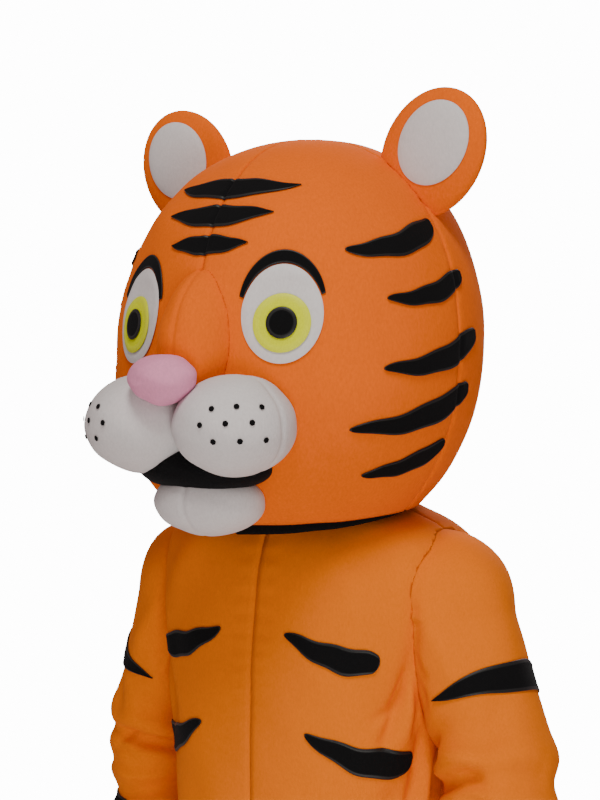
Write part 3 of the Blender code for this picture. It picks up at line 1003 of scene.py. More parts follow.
@dataclass
class Panel:
    """One piece of cloth over a dressed form.

    Args:
        name: The piece's and the node's name.
        cloth: The dressed form.
        angles: The angles of its columns.
        alongs: The places of its rows, rising.
        closed: Whether it goes all round.
        thickness: The cloth's thickness.
        keep: Holds points on their side of a seam, or None.
    """

    name: str
    cloth: Cloth
    angles: Array
    alongs: Array
    closed: bool = False
    thickness: float = CLOTH
    keep: Optional[Callable[[Array], Array]] = None
    grid: Optional[Array] = None

    def build(self) -> bpy.types.Object:
        """Builds the panel.

        Returns:
            The object.
        """
        angle, along = np.meshgrid(self.angles, self.alongs)
        outer = self.cloth.raised(angle, along, 0.0)
        inner = self.cloth.raised(angle, along, -self.thickness)
        if self.keep:
            outer, inner = self.keep(outer), self.keep(inner)
        self.grid = outer
        return walled(self.name, outer, inner, self.closed, self.cloth.flat(angle, along))


def keeper(x_side: int = 0, y_side: int = 0, y_seam: float = 0.0, low: float = -2.0,
           high: float = 2.0) -> Callable[[Array], Array]:
    """Holds points on one side of the seams at X 0 and y_seam.

    Args:
        x_side: 1 or -1 for the side of X that is kept, or 0.
        y_side: The same for Y.
        y_seam: Where the Y seam is.
        low: The lowest height.
        high: The highest height.

    Returns:
        The function that moves the points.
    """
    half = SEAM / 2

    def keep(points: Array) -> Array:
        """Moves points to their side of the seams."""
        if x_side:
            points[..., 0] = x_side * np.maximum(x_side * points[..., 0], half)
        if y_side:
            points[..., 1] = y_seam + y_side * np.maximum(y_side * (points[..., 1] - y_seam), half)
        points[..., 2] = np.clip(points[..., 2], low, high)
        return points
    return keep


def sewn_thickness(edge: Array) -> Array:
    """The thickness of an applied shape, corded near its edge and rounded off at it.

    Args:
        edge: Nearness to the edge, 0 in the middle and 1 at the edge.

    Returns:
        Thicknesses in metres.
    """
    near = np.clip(edge, 0, 1)
    cord = CORD_RISE * np.exp(-((near - CORD_MIDDLE) / CORD_WIDTH) ** 2)
    return APPLIQUE * (0.85 + cord - 0.40 * near ** 20)


def edged(count: int) -> Array:
    """Values from -1 to 1, closer together towards both ends."""
    return np.sin(np.linspace(-math.pi / 2, math.pi / 2, count))


def near_end(share: Array, steepness: float) -> Array:
    """How near a place from 0 to 1 along a shape is to either end, 1 at the end."""
    return np.clip(1 - steepness * np.minimum(share, 1 - share), 0, 1)


@dataclass(frozen=True)
class Stripe:
    """A dark shape that is wide at its root and pointed at its tip.

    Args:
        name: Its name without a side.
        root: Angle and place of its wide end, on the left side.
        tip: Angle and place of its point.
        bow: How far its middle swings to one side, in metres.
        half_width: Half its greatest width, in metres.
        rows: How many rows of points it has along its length.
    """

    name: str
    root: tuple[float, float]
    tip: tuple[float, float]
    bow: float
    half_width: float
    rows: int = 71

    def grid(self, side: Side, per_degree: float) -> Grid:
        """The stripe's grid on one side.

        Args:
            side: The side.
            per_degree: Metres to a degree.

        Returns:
            Angles, places and nearness to the edge.
        """
        root, tip = np.array(self.root), np.array(self.tip)
        root[0], tip[0] = side.value * root[0], side.value * tip[0]
        run = (tip - root) * (per_degree, 1.0)
        sideways = np.array((-run[1], run[0])) / float(np.hypot(*run))
        runs = (1 - np.cos(np.linspace(0, math.pi, self.rows))) / 2
        share, across = np.meshgrid(runs, edged(ACROSS_COUNT), indexing="ij")
        round_end = np.sqrt(1 - (1 - np.minimum(share / ROUND_SHARE, 1)) ** 2)
        width = np.sqrt(1 - share) * (0.42 + 0.58 * np.tanh(4.5 * share)) * round_end
        wave = 0.05 * self.half_width * np.sin(share * 17 + root[1] * 90)
        sway = side.value * self.bow * np.sin(math.pi * share) + wave
        offset = sway + across * self.half_width * np.maximum(0.03, width)
        angle = root[0] + (tip[0] - root[0]) * share + sideways[0] * offset / per_degree
        along = root[1] + (tip[1] - root[1]) * share + sideways[1] * offset
        edge = np.maximum(np.abs(across), near_end(share, 18))
        return angle.T, along.T, edge.T


@dataclass(frozen=True)
class Bar:
    """A dark shape with both its ends narrowed.

    Args:
        name: Its name.
        angle: The angle of its middle.
        place: The place of its middle along the form.
        half_angle: Half its run in degrees.
        half_width: Half its width in units of place.
        columns: How many columns of points it has along its run.
    """

    name: str
    angle: float
    place: float
    half_angle: float
    half_width: float
    columns: int = 97

    def grid(self) -> Grid:
        """Angles, places and nearness to the edge, as a grid."""
        across, share = np.meshgrid(edged(ACROSS_COUNT), np.linspace(-1, 1, self.columns),
                                    indexing="ij")
        width = self.half_width * np.maximum(0.04, 1 - share ** 2)
        wave = 0.06 * self.half_width * np.sin(share * 9 + self.place * 70)
        edge = np.maximum(np.abs(across), near_end((1 + share) / 2, 48))
        return self.angle + self.half_angle * share, self.place + across * width + wave, edge


@dataclass
class Patch:
    """A cut shape sewn on a dressed form.

    Args:
        name: The piece's and the node's name.
        cloth: What it is sewn on.
        angle: The grid of its angles.
        along: The grid of its places along.
        edge: How near each grid point is to the patch's edge, 0 in the middle and 1 at the edge.
        lift: The height of its underside.
    """

    name: str
    cloth: Cloth
    angle: Array
    along: Array
    edge: Array
    lift: float = LIFT

    def layers(self) -> Grid:
        """Its outer face, its underside and their places on the flat cloth."""
        outer = self.cloth.raised(self.angle, self.along, self.lift + sewn_thickness(self.edge))
        inner = self.cloth.raised(self.angle, self.along, self.lift)
        return outer, inner, self.cloth.flat(self.angle, self.along)

    def build(self, finish: Fleece, hold: Hold, *rests_on: str) -> None:
        """Args:
            finish: Its cloth.
            hold: How it is carried.
            rests_on: The nodes that carry it.
        """
        outer, inner, uv = self.layers()
        piece = walled(self.name, outer, inner, False, uv, self.edge)
        DRESSER.dress(piece, finish, self.name)
        DRESSER.declare(piece, outer, False, hold, rests_on)


@dataclass
class RoundPatch(Patch):
    """A round cut shape, its rows running from its edge to its middle."""

    def build(self, finish: Fleece, hold: Hold, *rests_on: str) -> None:
        """Args:
            finish: Its cloth.
            hold: How it is carried.
            rests_on: The nodes that carry it.
        """
        outer, inner, uv = self.layers()
        piece = lens(self.name, outer, inner, uv, self.edge)
        DRESSER.dress(piece, finish, self.name)
        half, quarter = outer.shape[1] // 2, outer.shape[1] // 4
        flat = (float(np.linalg.norm(outer[0][0] - outer[0][half])),
                float(np.linalg.norm(outer[0][quarter] - outer[0][3 * quarter])))
        DRESSER.declare(piece, outer, True, hold, rests_on, flat)


# Head


@dataclass
class Head:
    """The foam head under its fleece: shell, lining, face and stripes."""

    form: HeadForm = field(default_factory=HeadForm)
    column_step: float = 1.25
    rise_step: float = math.radians(1.35)
    # metres to a radian of rise
    scale: float = 0.21
    ripple: float = 0.0005
    # where the shell is soft: start angle and rise, end angle and rise, bow, half width, height
    folds: tuple[tuple, ...] = (
        (28, 0.22, 28, 0.36, 0.000, 0.050, -0.0040),
        (-28, 0.22, -28, 0.36, 0.000, 0.050, -0.0040),
        (52, -0.30, 58, -0.05, 0.008, 0.060, 0.0060),
        (-52, -0.32, -59, -0.04, -0.008, 0.060, 0.0058),
        (14, 0.62, 40, 0.66, 0.010, 0.030, 0.0040),
        (-15, 0.62, -41, 0.65, -0.010, 0.030, 0.0038),
        (120, -0.50, 150, -0.20, 0.010, 0.040, -0.0022),
        (215, -0.46, 240, -0.10, 0.010, 0.045, -0.0024),
        (170, 0.30, 200, 0.62, 0.012, 0.050, 0.0020),
    )
    # name, angle, height, half angle, half width
    bars: tuple[Bar, ...] = (
        Bar("Forehead_Bar_Lower", 0, 0.268, 16, 0.010),
        Bar("Forehead_Bar_Middle", 0, 0.297, 24, 0.011),
        Bar("Forehead_Bar_Upper", 0, 0.325, 34, 0.010),
        Bar("Nape_Bar_Upper", 180, 0.230, 46, 0.018),
        Bar("Nape_Bar_Lower", 180, 0.130, 50, 0.019),
    )
    # name, root, tip, bow, half width
    stripes: tuple[Stripe, ...] = (
        Stripe("Temple_Stripe_Upper", (86, 0.276), (48, 0.256), 0.008, 0.017),
        Stripe("Temple_Stripe_Lower", (94, 0.222), (60, 0.204), 0.008, 0.015),
        Stripe("Cheek_Stripe_Upper", (100, 0.158), (58, 0.134), 0.010, 0.018),
        Stripe("Cheek_Stripe_Middle", (96, 0.102), (48, 0.076), 0.010, 0.018),
        Stripe("Cheek_Stripe_Lower", (88, 0.046), (54, 0.026), 0.006, 0.014),
    )
    cloth: Cloth = field(init=False)
    room: Optional[bpy.types.Object] = None

    def __post_init__(self) -> None:
        """Dresses the form, with a seam in front and one on each side."""
        seams = [SeamLine(angle=angle, depth=0.0022, width=0.0030, pucker=0.0004)
                 for angle in (0.0, 90.0, -90.0)]
        self.cloth = Cloth(self.form, folds_of(self.folds), seams, self.scale, self.ripple)

    def rises(self) -> Array:
        """The turns up of the shell's rows, rim to crown."""
        rim = float(self.form.rise(self.form.rim))
        return evenly(rim, math.pi / 2, self.rise_step)

    def build_shell(self) -> None:
        """Builds the three panels of the head and the body that its raised forms sit on."""
        seam = self.form.axis_y
        for name, low, high, keep in (
            ("Head_Face_Left", 0, 90, keeper(1, -1, seam)),
            ("Head_Face_Right", -90, 0, keeper(-1, -1, seam)),
            ("Head_Back", 90, 270, keeper(0, 1, seam)),
        ):
            panel = Panel(name, self.cloth, evenly(low, high, self.column_step), self.rises(),
                          thickness=FOAM, keep=keep)
            DRESSER.dress(panel.build(), ORANGE_HEAD, name)
        self.room = closed_body("Head_Room", self.cloth, all_round(ROOM_TURN), self.rises()[::2],
                                SEAM)

    def sew(self, name: str, grid: Grid) -> None:
        """Sews one dark shape on, its grid given as angles, heights and nearness to the edge."""
        angle, height, edge = grid
        Patch(name, self.cloth, angle, self.form.rise(height), edge).build(
            BLACK, Hold.STRETCHED, "Head_Face_Left", "Head_Face_Right", "Head_Back")

    def build_stripes(self) -> None:
        """Builds the head's stripes and bars."""
        for bar in self.bars:
            self.sew(bar.name, bar.grid())
        for side in Side:
            for stripe in self.stripes:
                self.sew(side.named(stripe.name), stripe.grid(side, self.form.metres_per_degree))


@dataclass
class NeckLining:
    """The dark cloth ring inside the head's lower edge."""

    head: Head
    drop_front: float = 0.0189
    drop_back: float = 0.0032

    def build(self) -> None:
        form = self.head.form
        angles = evenly(0, 358, 2)
        rim = float(form.rise(form.rim))
        edge = self.head.cloth.raised(angles, np.full(angles.shape, rim), -FOAM - SEAM - 0.0004)
        front = (1 + np.cos(np.radians(angles))) / 2
        drop = self.drop_back + (self.drop_front - self.drop_back) * front
        rows = []
        for share in np.linspace(1, 0, 6):
            line = edge.copy()
            line[:, 2] -= share * drop
            rows.append(line)
        outer = np.array(rows)
        middle = np.array((0.0, form.axis_y, 0.0))
        inward = unit((middle - outer) * np.array((1.0, 1.0, 0.0)))
        inner = outer + inward * CLOTH
        uv = np.stack(np.meshgrid(angles * 0.0022, np.linspace(0, 0.02, 6)), -1)
        piece = walled("Neck_Lining", outer, inner, True, uv)
        DRESSER.dress(piece, BLACK, "Neck_Lining")
        DRESSER.declare(piece, outer, True, Hold.HUNG, ["Head_Back"])


@dataclass
class Eye:
    """One eye: an oval white, a round iris, a round pupil and a plain dark lid."""

    head: Head
    side: Side
    angle: float = 28
    height: float = 0.196
    half_width: float = 0.043
    half_height: float = 0.050
    drop: float = 0.009
    iris_radius: float = 0.030
    pupil_radius: float = 0.016
    lid_width: float = 0.013
    lid_gap: float = 0.0012

    def disc(self, name: str, drop: float, half_sizes: tuple[float, float], layer: int,
             finish: Fleece) -> None:
        """Builds one oval of cloth.

        Args:
            name: The piece's name.
            drop: How far its middle is below the eye's.
            half_sizes: Half its width and height.
            layer: How many layers lie under it.
            finish: Its cloth.
        """
        turn, ring = np.meshgrid(np.linspace(0, 2 * math.pi, 96, endpoint=False),
                                 np.sin(np.linspace(math.pi / 2, NEAR_MIDDLE, 18)))
        per_degree = self.head.form.metres_per_degree
        angle = self.side.value * self.angle + half_sizes[0] * ring * np.cos(turn) / per_degree
        height = self.height - drop + half_sizes[1] * ring * np.sin(turn)
        lift = LIFT + layer * (APPLIQUE + LAYER_GAP)
        patch = RoundPatch(name, self.head.cloth, angle, self.head.form.rise(height), ring, lift)
        patch.build(finish, Hold.STRETCHED, self.side.named("Head_Face"))

    def build(self) -> None:
        """Builds the four layers of the eye."""
        label = self.side.label
        self.disc("Eye_White_" + label, 0, (self.half_width, self.half_height), 0, WHITE)
        self.disc("Iris_" + label, self.drop, (self.iris_radius,) * 2, 1, IRIS)
        self.disc("Pupil_" + label, self.drop, (self.pupil_radius,) * 2, 2, BLACK)
        self.build_lid()

    def build_lid(self) -> None:
        """Builds the dark lid over the white."""
        turn, reach = np.meshgrid(np.radians(np.linspace(20, 160, 61)),
                                  (edged(ACROSS_COUNT) + 1) / 2)
        share = (np.degrees(turn) - 20) / 140
        width = self.lid_gap + reach * self.lid_width * (0.35 + 0.65 * np.sin(math.pi * share))
        per_degree = self.head.form.metres_per_degree
        angle = self.side.value * self.angle + (self.half_width + width) * np.cos(turn) / per_degree
        height = self.height + (self.half_height + width) * np.sin(turn)
        edge = np.maximum(np.abs(reach * 2 - 1), near_end(share, 18))
        grid = (angle[:, ::-1], self.head.form.rise(height)[:, ::-1], edge[:, ::-1])
        Patch(self.side.named("Eye_Lid"), self.head.cloth, *grid).build(
            BLACK, Hold.STRETCHED, self.side.named("Head_Face"))


@dataclass
class FoamForm:
    """A rounded foam form under fleece.

    Args:
        name: The piece's and the node's name.
        centre: Its middle.
        half_sizes: Its half sizes before it is turned.
        finish: Its cloth.
        turn: Its turn about X and Y, in degrees.
        shape: Moves unit points before they are scaled, or None.
        seams: Its sewn lines, each the direction square to a plane through a unit ball and the
            plane's distance from the ball's middle.
        uneven: The height of its slow unevenness, in metres.
        columns: How many columns of points it has.
        rows: How many rows.
    """

    name: str
    centre: Triple
    half_sizes: Triple
    finish: Fleece
    turn: tuple[float, float] = (0.0, 0.0)
    shape: Optional[Callable[[Array], Array]] = None
    seams: Sequence[tuple[Triple, float]] = ()
    uneven: float = 0.0006
    columns: int = 160
    rows: int = 80
    seam_depth: float = 0.0016
    seam_width: float = 0.0030

    def points(self, grow: float) -> tuple[Array, Array]:
        """The form's rows of points and its two ends.

        Args:
            grow: How far it stands off its own surface.

        Returns:
            The rows, bottom to top, and the two ends.
        """
        ball = ball_grid(self.columns, self.rows)[1]
        ends = np.array(((0.0, 0.0, -1.0), (0.0, 0.0, 1.0)))
        return self.placed(ball, grow), self.placed(ends, grow)

    def placed(self, ball: Array, grow: float) -> Array:
        """Unit points shaped, scaled, turned and moved."""
        shaped = self.shape(ball) if self.shape else ball
        sizes = np.array(self.half_sizes)
        out = unit(ball / sizes)
        wave = np.sin(ball[..., 0:1] * 5 + 2 * np.sin(ball[..., 2:3] * 4))
        sized = shaped * (sizes + grow) + self.uneven * wave * out
        for direction, distance in self.seams:
            square = unit(np.array(direction))
            away = (ball @ square - distance)[..., None]
            spread = self.seam_width / np.linalg.norm(sizes * square)
            sized = sized - self.seam_depth * np.exp(-(away / spread) ** 2) * out
        return sized @ self.rotation().T + np.array(self.centre)

    def rotation(self) -> Array:
        """The form's turn as a matrix."""
        turn = (Matrix.Rotation(math.radians(self.turn[1]), 3, "Y")
                @ Matrix.Rotation(math.radians(self.turn[0]), 3, "X"))
        return np.array(turn)

    def spot(self, turn: float, rise: float) -> tuple[Array, Array]:
        """A point of the form and its direction out.

        Args:
            turn: The angle from the front towards +X, in degrees.
            rise: The angle up, in degrees.

        Returns:
            The point and the direction.
        """
        around, up = math.radians(turn), math.radians(rise)
        ball = np.array((math.cos(up) * math.sin(around), -math.cos(up) * math.cos(around),
                         math.sin(up)))
        out = unit(ball / np.array(self.half_sizes)) @ self.rotation().T
        return self.placed(ball, 0.0), out

    def mesh(self, name: str, grow: float) -> bpy.types.Object:
        """The form as a closed mesh.

        Args:
            name: The mesh's name.
            grow: How far it stands off its own surface.

        Returns:
            The object.
        """
        body, ends = self.points(grow)
        points = np.concatenate((body.reshape(-1, 3), ends))
        return mesh_object(name, points, ball_faces(self.rows, self.columns))

    def room(self) -> bpy.types.Object:
        """The body that leaves a seam's gap round the form."""
        return as_room(self.mesh(self.name + "_Room", SEAM))

    def build(self, rooms: Sequence[bpy.types.Object]) -> None:
        """Args:
            rooms: The bodies that it leaves free.
        """
        piece = self.mesh(self.name, 0.0)
        cut_away(piece, rooms)
        DRESSER.dress(piece, self.finish, self.name)


def half_space(side: Side, centre: Triple) -> bpy.types.Object:
    """A block over the other side of the centre line.

    Args:
        side: The side that is left free.
        centre: The block's middle in Y and Z.

    Returns:
        The block.
    """
    half = 0.2
    near, far = -side.value * -SEAM / 2, -side.value * 2 * half
    xs = sorted((near, far))
    corners = [(x, centre[1] + y, centre[2] + z) for z in (-half, half) for y in (-half, half)
               for x in xs]
    faces = [(0, 2, 3, 1), (4, 5, 7, 6), (0, 1, 5, 4), (2, 6, 7, 3), (0, 4, 6, 2), (1, 3, 7, 5)]
    return as_room(mesh_object("Other_Side_Of_" + side.label, np.array(corners), faces))


@dataclass
class Knots:
    """Small embroidered knots on a foam form.

    Args:
        name: The piece's name.
        form: The form that they are sewn on.
        radius: A knot's radius in metres.
        half_height: Half its height in metres.
        columns: Columns of a knot's points.
        rows: Rows of its points.
    """

    name: str
    form: FoamForm
    radius: float = 0.0030
    half_height: float = 0.0007
    columns: int = 18
    rows: int = 8

    def build(self, places: Sequence[tuple[float, float]]) -> None:
        """Builds every knot as one mesh.

        Args:
            places: Each knot's turn and rise on the form, in degrees.
        """
        turn, ball = ball_grid(self.columns, self.rows)
        threads = 1 - 0.07 * np.sin(turn * 6)
        body = ball * np.array((self.radius, self.radius, self.half_height))
        body[..., :2] *= threads[..., None]
        ends = np.array(((0, 0, -self.half_height), (0, 0, self.half_height)))
        local = np.concatenate((body.reshape(-1, 3), ends))
        points, faces = [], []
        for place in places:
            middle, out = self.form.spot(*place)
            side = unit(np.cross(np.array((0.0, 0.0, 1.0)), out))
            frame_of = np.stack((side, np.cross(out, side), out))
            first = len(points) * len(local)
            points.append(local @ frame_of + middle + out * (self.half_height + SEAM))
            faces += ball_faces(self.rows, self.columns, first)
        piece = mesh_object(self.name, np.concatenate(points), faces)
        DRESSER.dress(piece, BLACK)


@dataclass
class Muzzle:
    """Pads, bridge, nose, mouth and chin, seated on the face."""

    head: Head

    # turn and rise of each dot on the left pad, in degrees
    dots: tuple[tuple[float, float], ...] = (
        (14, 20),
        (38, 23),
        (63, 22),
        (4, 2),
        (28, 4),
        (52, 5),
        (16, -16),
        (41, -15),
        (66, -14),
    )

    @staticmethod
    def nose_shape(ball: Array) -> Array:
        """Narrows a ball below."""
        shaped = ball.copy()
        shaped[..., 0] *= 1 - 0.15 * (1 - ball[..., 2]) ** 2 / 2
        return shaped

    def build(self) -> None:
        """Builds every form of the muzzle."""
        nose = FoamForm("Nose", (0, -0.282, 0.113), (0.042, 0.028, 0.026), PINK,
                        shape=self.nose_shape)
        chin = FoamForm("Chin", (0, -0.204, -0.014), (0.064, 0.046, 0.036), WHITE,
                        seams=(((1, 0, 0), 0.0),))
        mouth = FoamForm("Mouth_Lining", (0, -0.212, 0.022), (0.080, 0.050, 0.026), BLACK)
        bridge = FoamForm("Nose_Bridge", (0, -0.204, 0.156), (0.046, 0.060, 0.080), ORANGE_HEAD,
                          turn=(-24, 0), seams=(((1, 0, 0), 0.0),))
        pads = {side: FoamForm("Muzzle_Pad_" + side.label, (side.value * 0.058, -0.238, 0.067),
                               (0.064, 0.062, 0.052), WHITE,
                               seams=(((side.value * 0.30, 1, 0.10), 0.22),))
                for side in Side}
        nose_room, chin_room = nose.room(), chin.room()
        pad_rooms = [pad.room() for pad in pads.values()]
        head_room = self.head.room
        nose.build([])
        for side, pad in pads.items():
            pad.build([head_room, half_space(side, pad.centre), nose_room])
            Knots("Whisker_Dots_" + side.label, pad).build(
                [(side.value * turn, rise) for turn, rise in self.dots])
        bridge.build([head_room, nose_room, *pad_rooms])
        chin.build([head_room, *pad_rooms])
        mouth.build([head_room, chin_room, *pad_rooms])


@dataclass
class EarPad:
    """A shallow pad on one face of an ear, ending in a clean line where the two forms meet.

    Args:
        ear: The ear.
        pad: The pad's whole form, turned as the ear is.
        face: -1 for the ear's front and 1 for its back.
        rim: The pad's thickness at its edge, in metres.
        columns: How many columns of points it has.
    """

    ear: FoamForm
    pad: FoamForm
    face: int
    rim: float = 0.0007
    columns: int = 144

    def heights(self, across: Array, up: Array) -> tuple[Array, Array]:
        """How far the pad's and the ear's faces stand out.

        Args:
            across: Places across the ear from its middle, in metres.
            up: Places up it.

        Returns:
            The pad's and the ear's distances from the ear's middle plane.
        """
        middle = self.middle()
        pad_size, ear_size = self.pad.half_sizes, self.ear.half_sizes
        on_pad = 1 - ((across - middle[0]) / pad_size[0]) ** 2 - ((up - middle[2]) / pad_size[2]) ** 2
        on_ear = 1 - (across / ear_size[0]) ** 2 - (up / ear_size[2]) ** 2
        pad = self.face * middle[1] + pad_size[1] * np.sqrt(np.maximum(on_pad, 0))
        ear = ear_size[1] * np.sqrt(np.maximum(on_ear, 0))
        return pad, ear

    def middle(self) -> Array:
        """The pad's middle in the ear's own frame."""
        return (np.array(self.pad.centre) - np.array(self.ear.centre)) @ self.ear.rotation()

    def reach(self, turn: Array) -> Array:
        """How far the pad reaches from its middle before it meets the ear."""
        middle = self.middle()
        low, high = np.zeros(turn.shape), np.full(turn.shape, max(self.pad.half_sizes))
        for _ in range(30):
            tried = (low + high) / 2
            pad, ear = self.heights(middle[0] + tried * np.cos(turn), middle[2] + tried * np.sin(turn))
            clear = pad - ear > SEAM + self.rim
            low, high = np.where(clear, tried, low), np.where(clear, high, tried)
        return low

    def build(self, rooms: Sequence[bpy.types.Object]) -> None:
        """Args:
            rooms: The bodies that it leaves free.
        """
        turns = np.linspace(0, -self.face * 2 * math.pi, self.columns, endpoint=False)
        shares = np.sin(np.linspace(math.pi / 2, NEAR_MIDDLE, 20))
        turn, share = np.meshgrid(turns, shares)
        reach = self.reach(turns)[None] * share
        middle = self.middle()
        across, up = middle[0] + reach * np.cos(turn), middle[2] + reach * np.sin(turn)
        pad, ear = self.heights(across, up)
        layers = []
        for height in (pad, ear + SEAM):
            local = np.stack((across, self.face * height, up), -1)
            layers.append(local @ self.ear.rotation().T + np.array(self.ear.centre))
        piece = lens(self.pad.name, layers[0], layers[1], np.stack((across, up), -1))
        cut_away(piece, rooms)
        DRESSER.dress(piece, self.pad.finish, self.pad.name)


@dataclass
class Ear:
    """One round flat ear with a pale inside and a dark tip patch at the back."""

    head: Head
    side: Side
    lean: float = 36

    def form(self, name: str, centre: Triple,
             half_sizes: Triple, finish: Fleece,
             seams: Sequence[tuple[Triple, float]] = ()) -> FoamForm:
        """One of the ear's forms on this side.

        Args:
            name: The piece's name without its side.
            centre: Its middle on the left side.
            half_sizes: Its half sizes before it is turned.
            finish: Its cloth.
            seams: Its sewn lines.

        Returns:
            The form.
        """
        out, back, up = centre
        return FoamForm(self.side.named(name), (self.side.value * out, back, up), half_sizes,
                        finish, turn=(0, self.side.value * self.lean), seams=seams, uneven=0.0)

    def build(self) -> None:
        """Builds the ear, its inside and its patch."""
        edge_seam = ((0, 1, 0), 0.0)
        ear = self.form("Ear", (0.165, -0.030, 0.352), (0.062, 0.014, 0.074), ORANGE_HEAD,
                        (edge_seam,))
        inside = self.form("Ear_Inside", (0.170, -0.039, 0.359), (0.042, 0.009, 0.050), WHITE)
        patch = self.form("Ear_Patch", (0.177, -0.022, 0.369), (0.036, 0.010, 0.034), BLACK)
        ear.build([self.head.room])
        EarPad(ear, inside, -1).build([self.head.room])
        EarPad(ear, patch, 1).build([self.head.room])


# Suit


@dataclass
class SuitBody:
    """The suit's front and back panels with their armholes and chest stripes."""

    form: TorsoForm = field(default_factory=TorsoForm)
    step: float = 0.004
    # start angle and height, end angle and height, bow, half width, height of the fold
    folds: tuple[tuple, ...] = (
        (66, -0.130, 55, -0.270, 0.005, 0.009, -0.0110),
        (72, -0.165, 66, -0.265, -0.004, 0.009, 0.0090),
        (77, -0.205, 68, -0.350, 0.008, 0.010, -0.0110),
        (83, -0.240, 76, -0.400, -0.006, 0.012, 0.0090),
        (60, -0.330, 46, -0.450, 0.010, 0.014, -0.0060),
        (71, -0.150, 59, -0.218, 0.003, 0.006, -0.0055),
        (77, -0.178, 69, -0.262, -0.003, 0.006, -0.0055),
        (63, -0.212, 49, -0.246, 0.003, 0.006, -0.0045),
        (-70, -0.152, -60, -0.224, -0.003, 0.006, -0.0055),
        (-77, -0.186, -68, -0.258, 0.003, 0.006, -0.0050),
        (-57, -0.140, -46, -0.255, -0.006, 0.013, -0.0090),
        (-69, -0.165, -60, -0.280, 0.005, 0.011, 0.0065),
        (20, -0.065, 40, -0.150, 0.005, 0.020, 0.0045),
        (-24, -0.060, -42, -0.140, -0.006, 0.022, 0.0045),
        (9, -0.400, 15, -0.640, 0.006, 0.026, 0.0060),
        (-13, -0.350, -20, -0.600, -0.008, 0.028, 0.0060),
        (30, -0.450, 25, -0.710, -0.006, 0.020, -0.0065),
        (-36, -0.480, -30, -0.720, 0.006, 0.021, -0.0065),
        (50, -0.400, 60, -0.660, 0.010, 0.024, 0.0070),
        (-54, -0.420, -62, -0.690, -0.010, 0.024, 0.0070),
        (80, -0.260, 84, -0.420, 0.004, 0.016, -0.0060),
        (-82, -0.250, -86, -0.400, -0.004, 0.016, -0.0060),
        (5, -0.665, 32, -0.735, 0.004, 0.012, -0.0060),
        (-6, -0.655, -33, -0.735, -0.004, 0.012, -0.0060),
        (112, -0.150, 121, -0.275, 0.005, 0.013, -0.0100),
        (247, -0.150, 238, -0.285, -0.005, 0.013, -0.0090),
        (104, -0.185, 108, -0.320, 0.006, 0.012, 0.0070),
        (256, -0.180, 250, -0.300, -0.005, 0.012, 0.0070),
        (150, -0.095, 161, -0.350, 0.010, 0.022, 0.0060),
        (209, -0.110, 199, -0.330, -0.010, 0.022, 0.0060),
        (132, -0.480, 176, -0.560, 0.012, 0.016, 0.0070),
        (228, -0.460, 186, -0.530, -0.012, 0.016, 0.0070),
        (128, -0.560, 170, -0.640, 0.012, 0.017, -0.0070),
        (226, -0.600, 192, -0.650, -0.012, 0.017, -0.0070),
        (160, -0.655, 132, -0.735, 0.006, 0.013, -0.0065),
        (200, -0.650, 229, -0.735, -0.006, 0.013, -0.0065),
    )
    # name, root, tip, bow, half width
    stripes: tuple[Stripe, ...] = (
        Stripe("Chest_Stripe_Upper", (48, -0.186), (10, -0.158), 0.008, 0.019),
        Stripe("Chest_Stripe_Middle", (70, -0.292), (20, -0.262), 0.012, 0.021),
        Stripe("Chest_Stripe_Lower", (78, -0.404), (24, -0.372), 0.012, 0.020),
    )
    crotch: float = -0.740
    neck: float = -0.015
    cloth: Cloth = field(init=False)

    def __post_init__(self) -> None:
        """Dresses the form, with a seam in front and one on each side."""
        seams = [SeamLine(angle=angle) for angle in (0.0, 90.0, -90.0)]
        self.cloth = Cloth(self.form, folds_of(self.folds), seams, joint=self.crotch)

    def build(self, rooms: Sequence[bpy.types.Object]) -> None:
        """Builds the three panels and the chest's stripes.

        Args:
            rooms: The bodies that the armholes leave free.
        """
        heights = evenly(self.crotch, self.neck, self.step)
        turn = self.step / self.form.metres_per_degree
        for name, low, high, keep in (
            ("Suit_Front_Left", 0, 90, keeper(1, -1, low=self.crotch)),
            ("Suit_Front_Right", -90, 0, keeper(-1, -1, low=self.crotch)),
            ("Suit_Back", 90, 270, keeper(0, 1, low=self.crotch)),
        ):
            panel = Panel(name, self.cloth, evenly(low, high, turn), heights, keep=keep)
            piece = panel.build()
            cut_away(piece, rooms)
            DRESSER.dress(piece, ORANGE_SUIT, name)
            DRESSER.declare(piece, panel.grid, False, Hold.HUNG, holed=True)
        for side in Side:
            for stripe in self.stripes:
                grid = stripe.grid(side, self.form.metres_per_degree)
                Patch(side.named(stripe.name), self.cloth, *grid).build(
                    BLACK, Hold.HUNG, side.named("Suit_Front"))


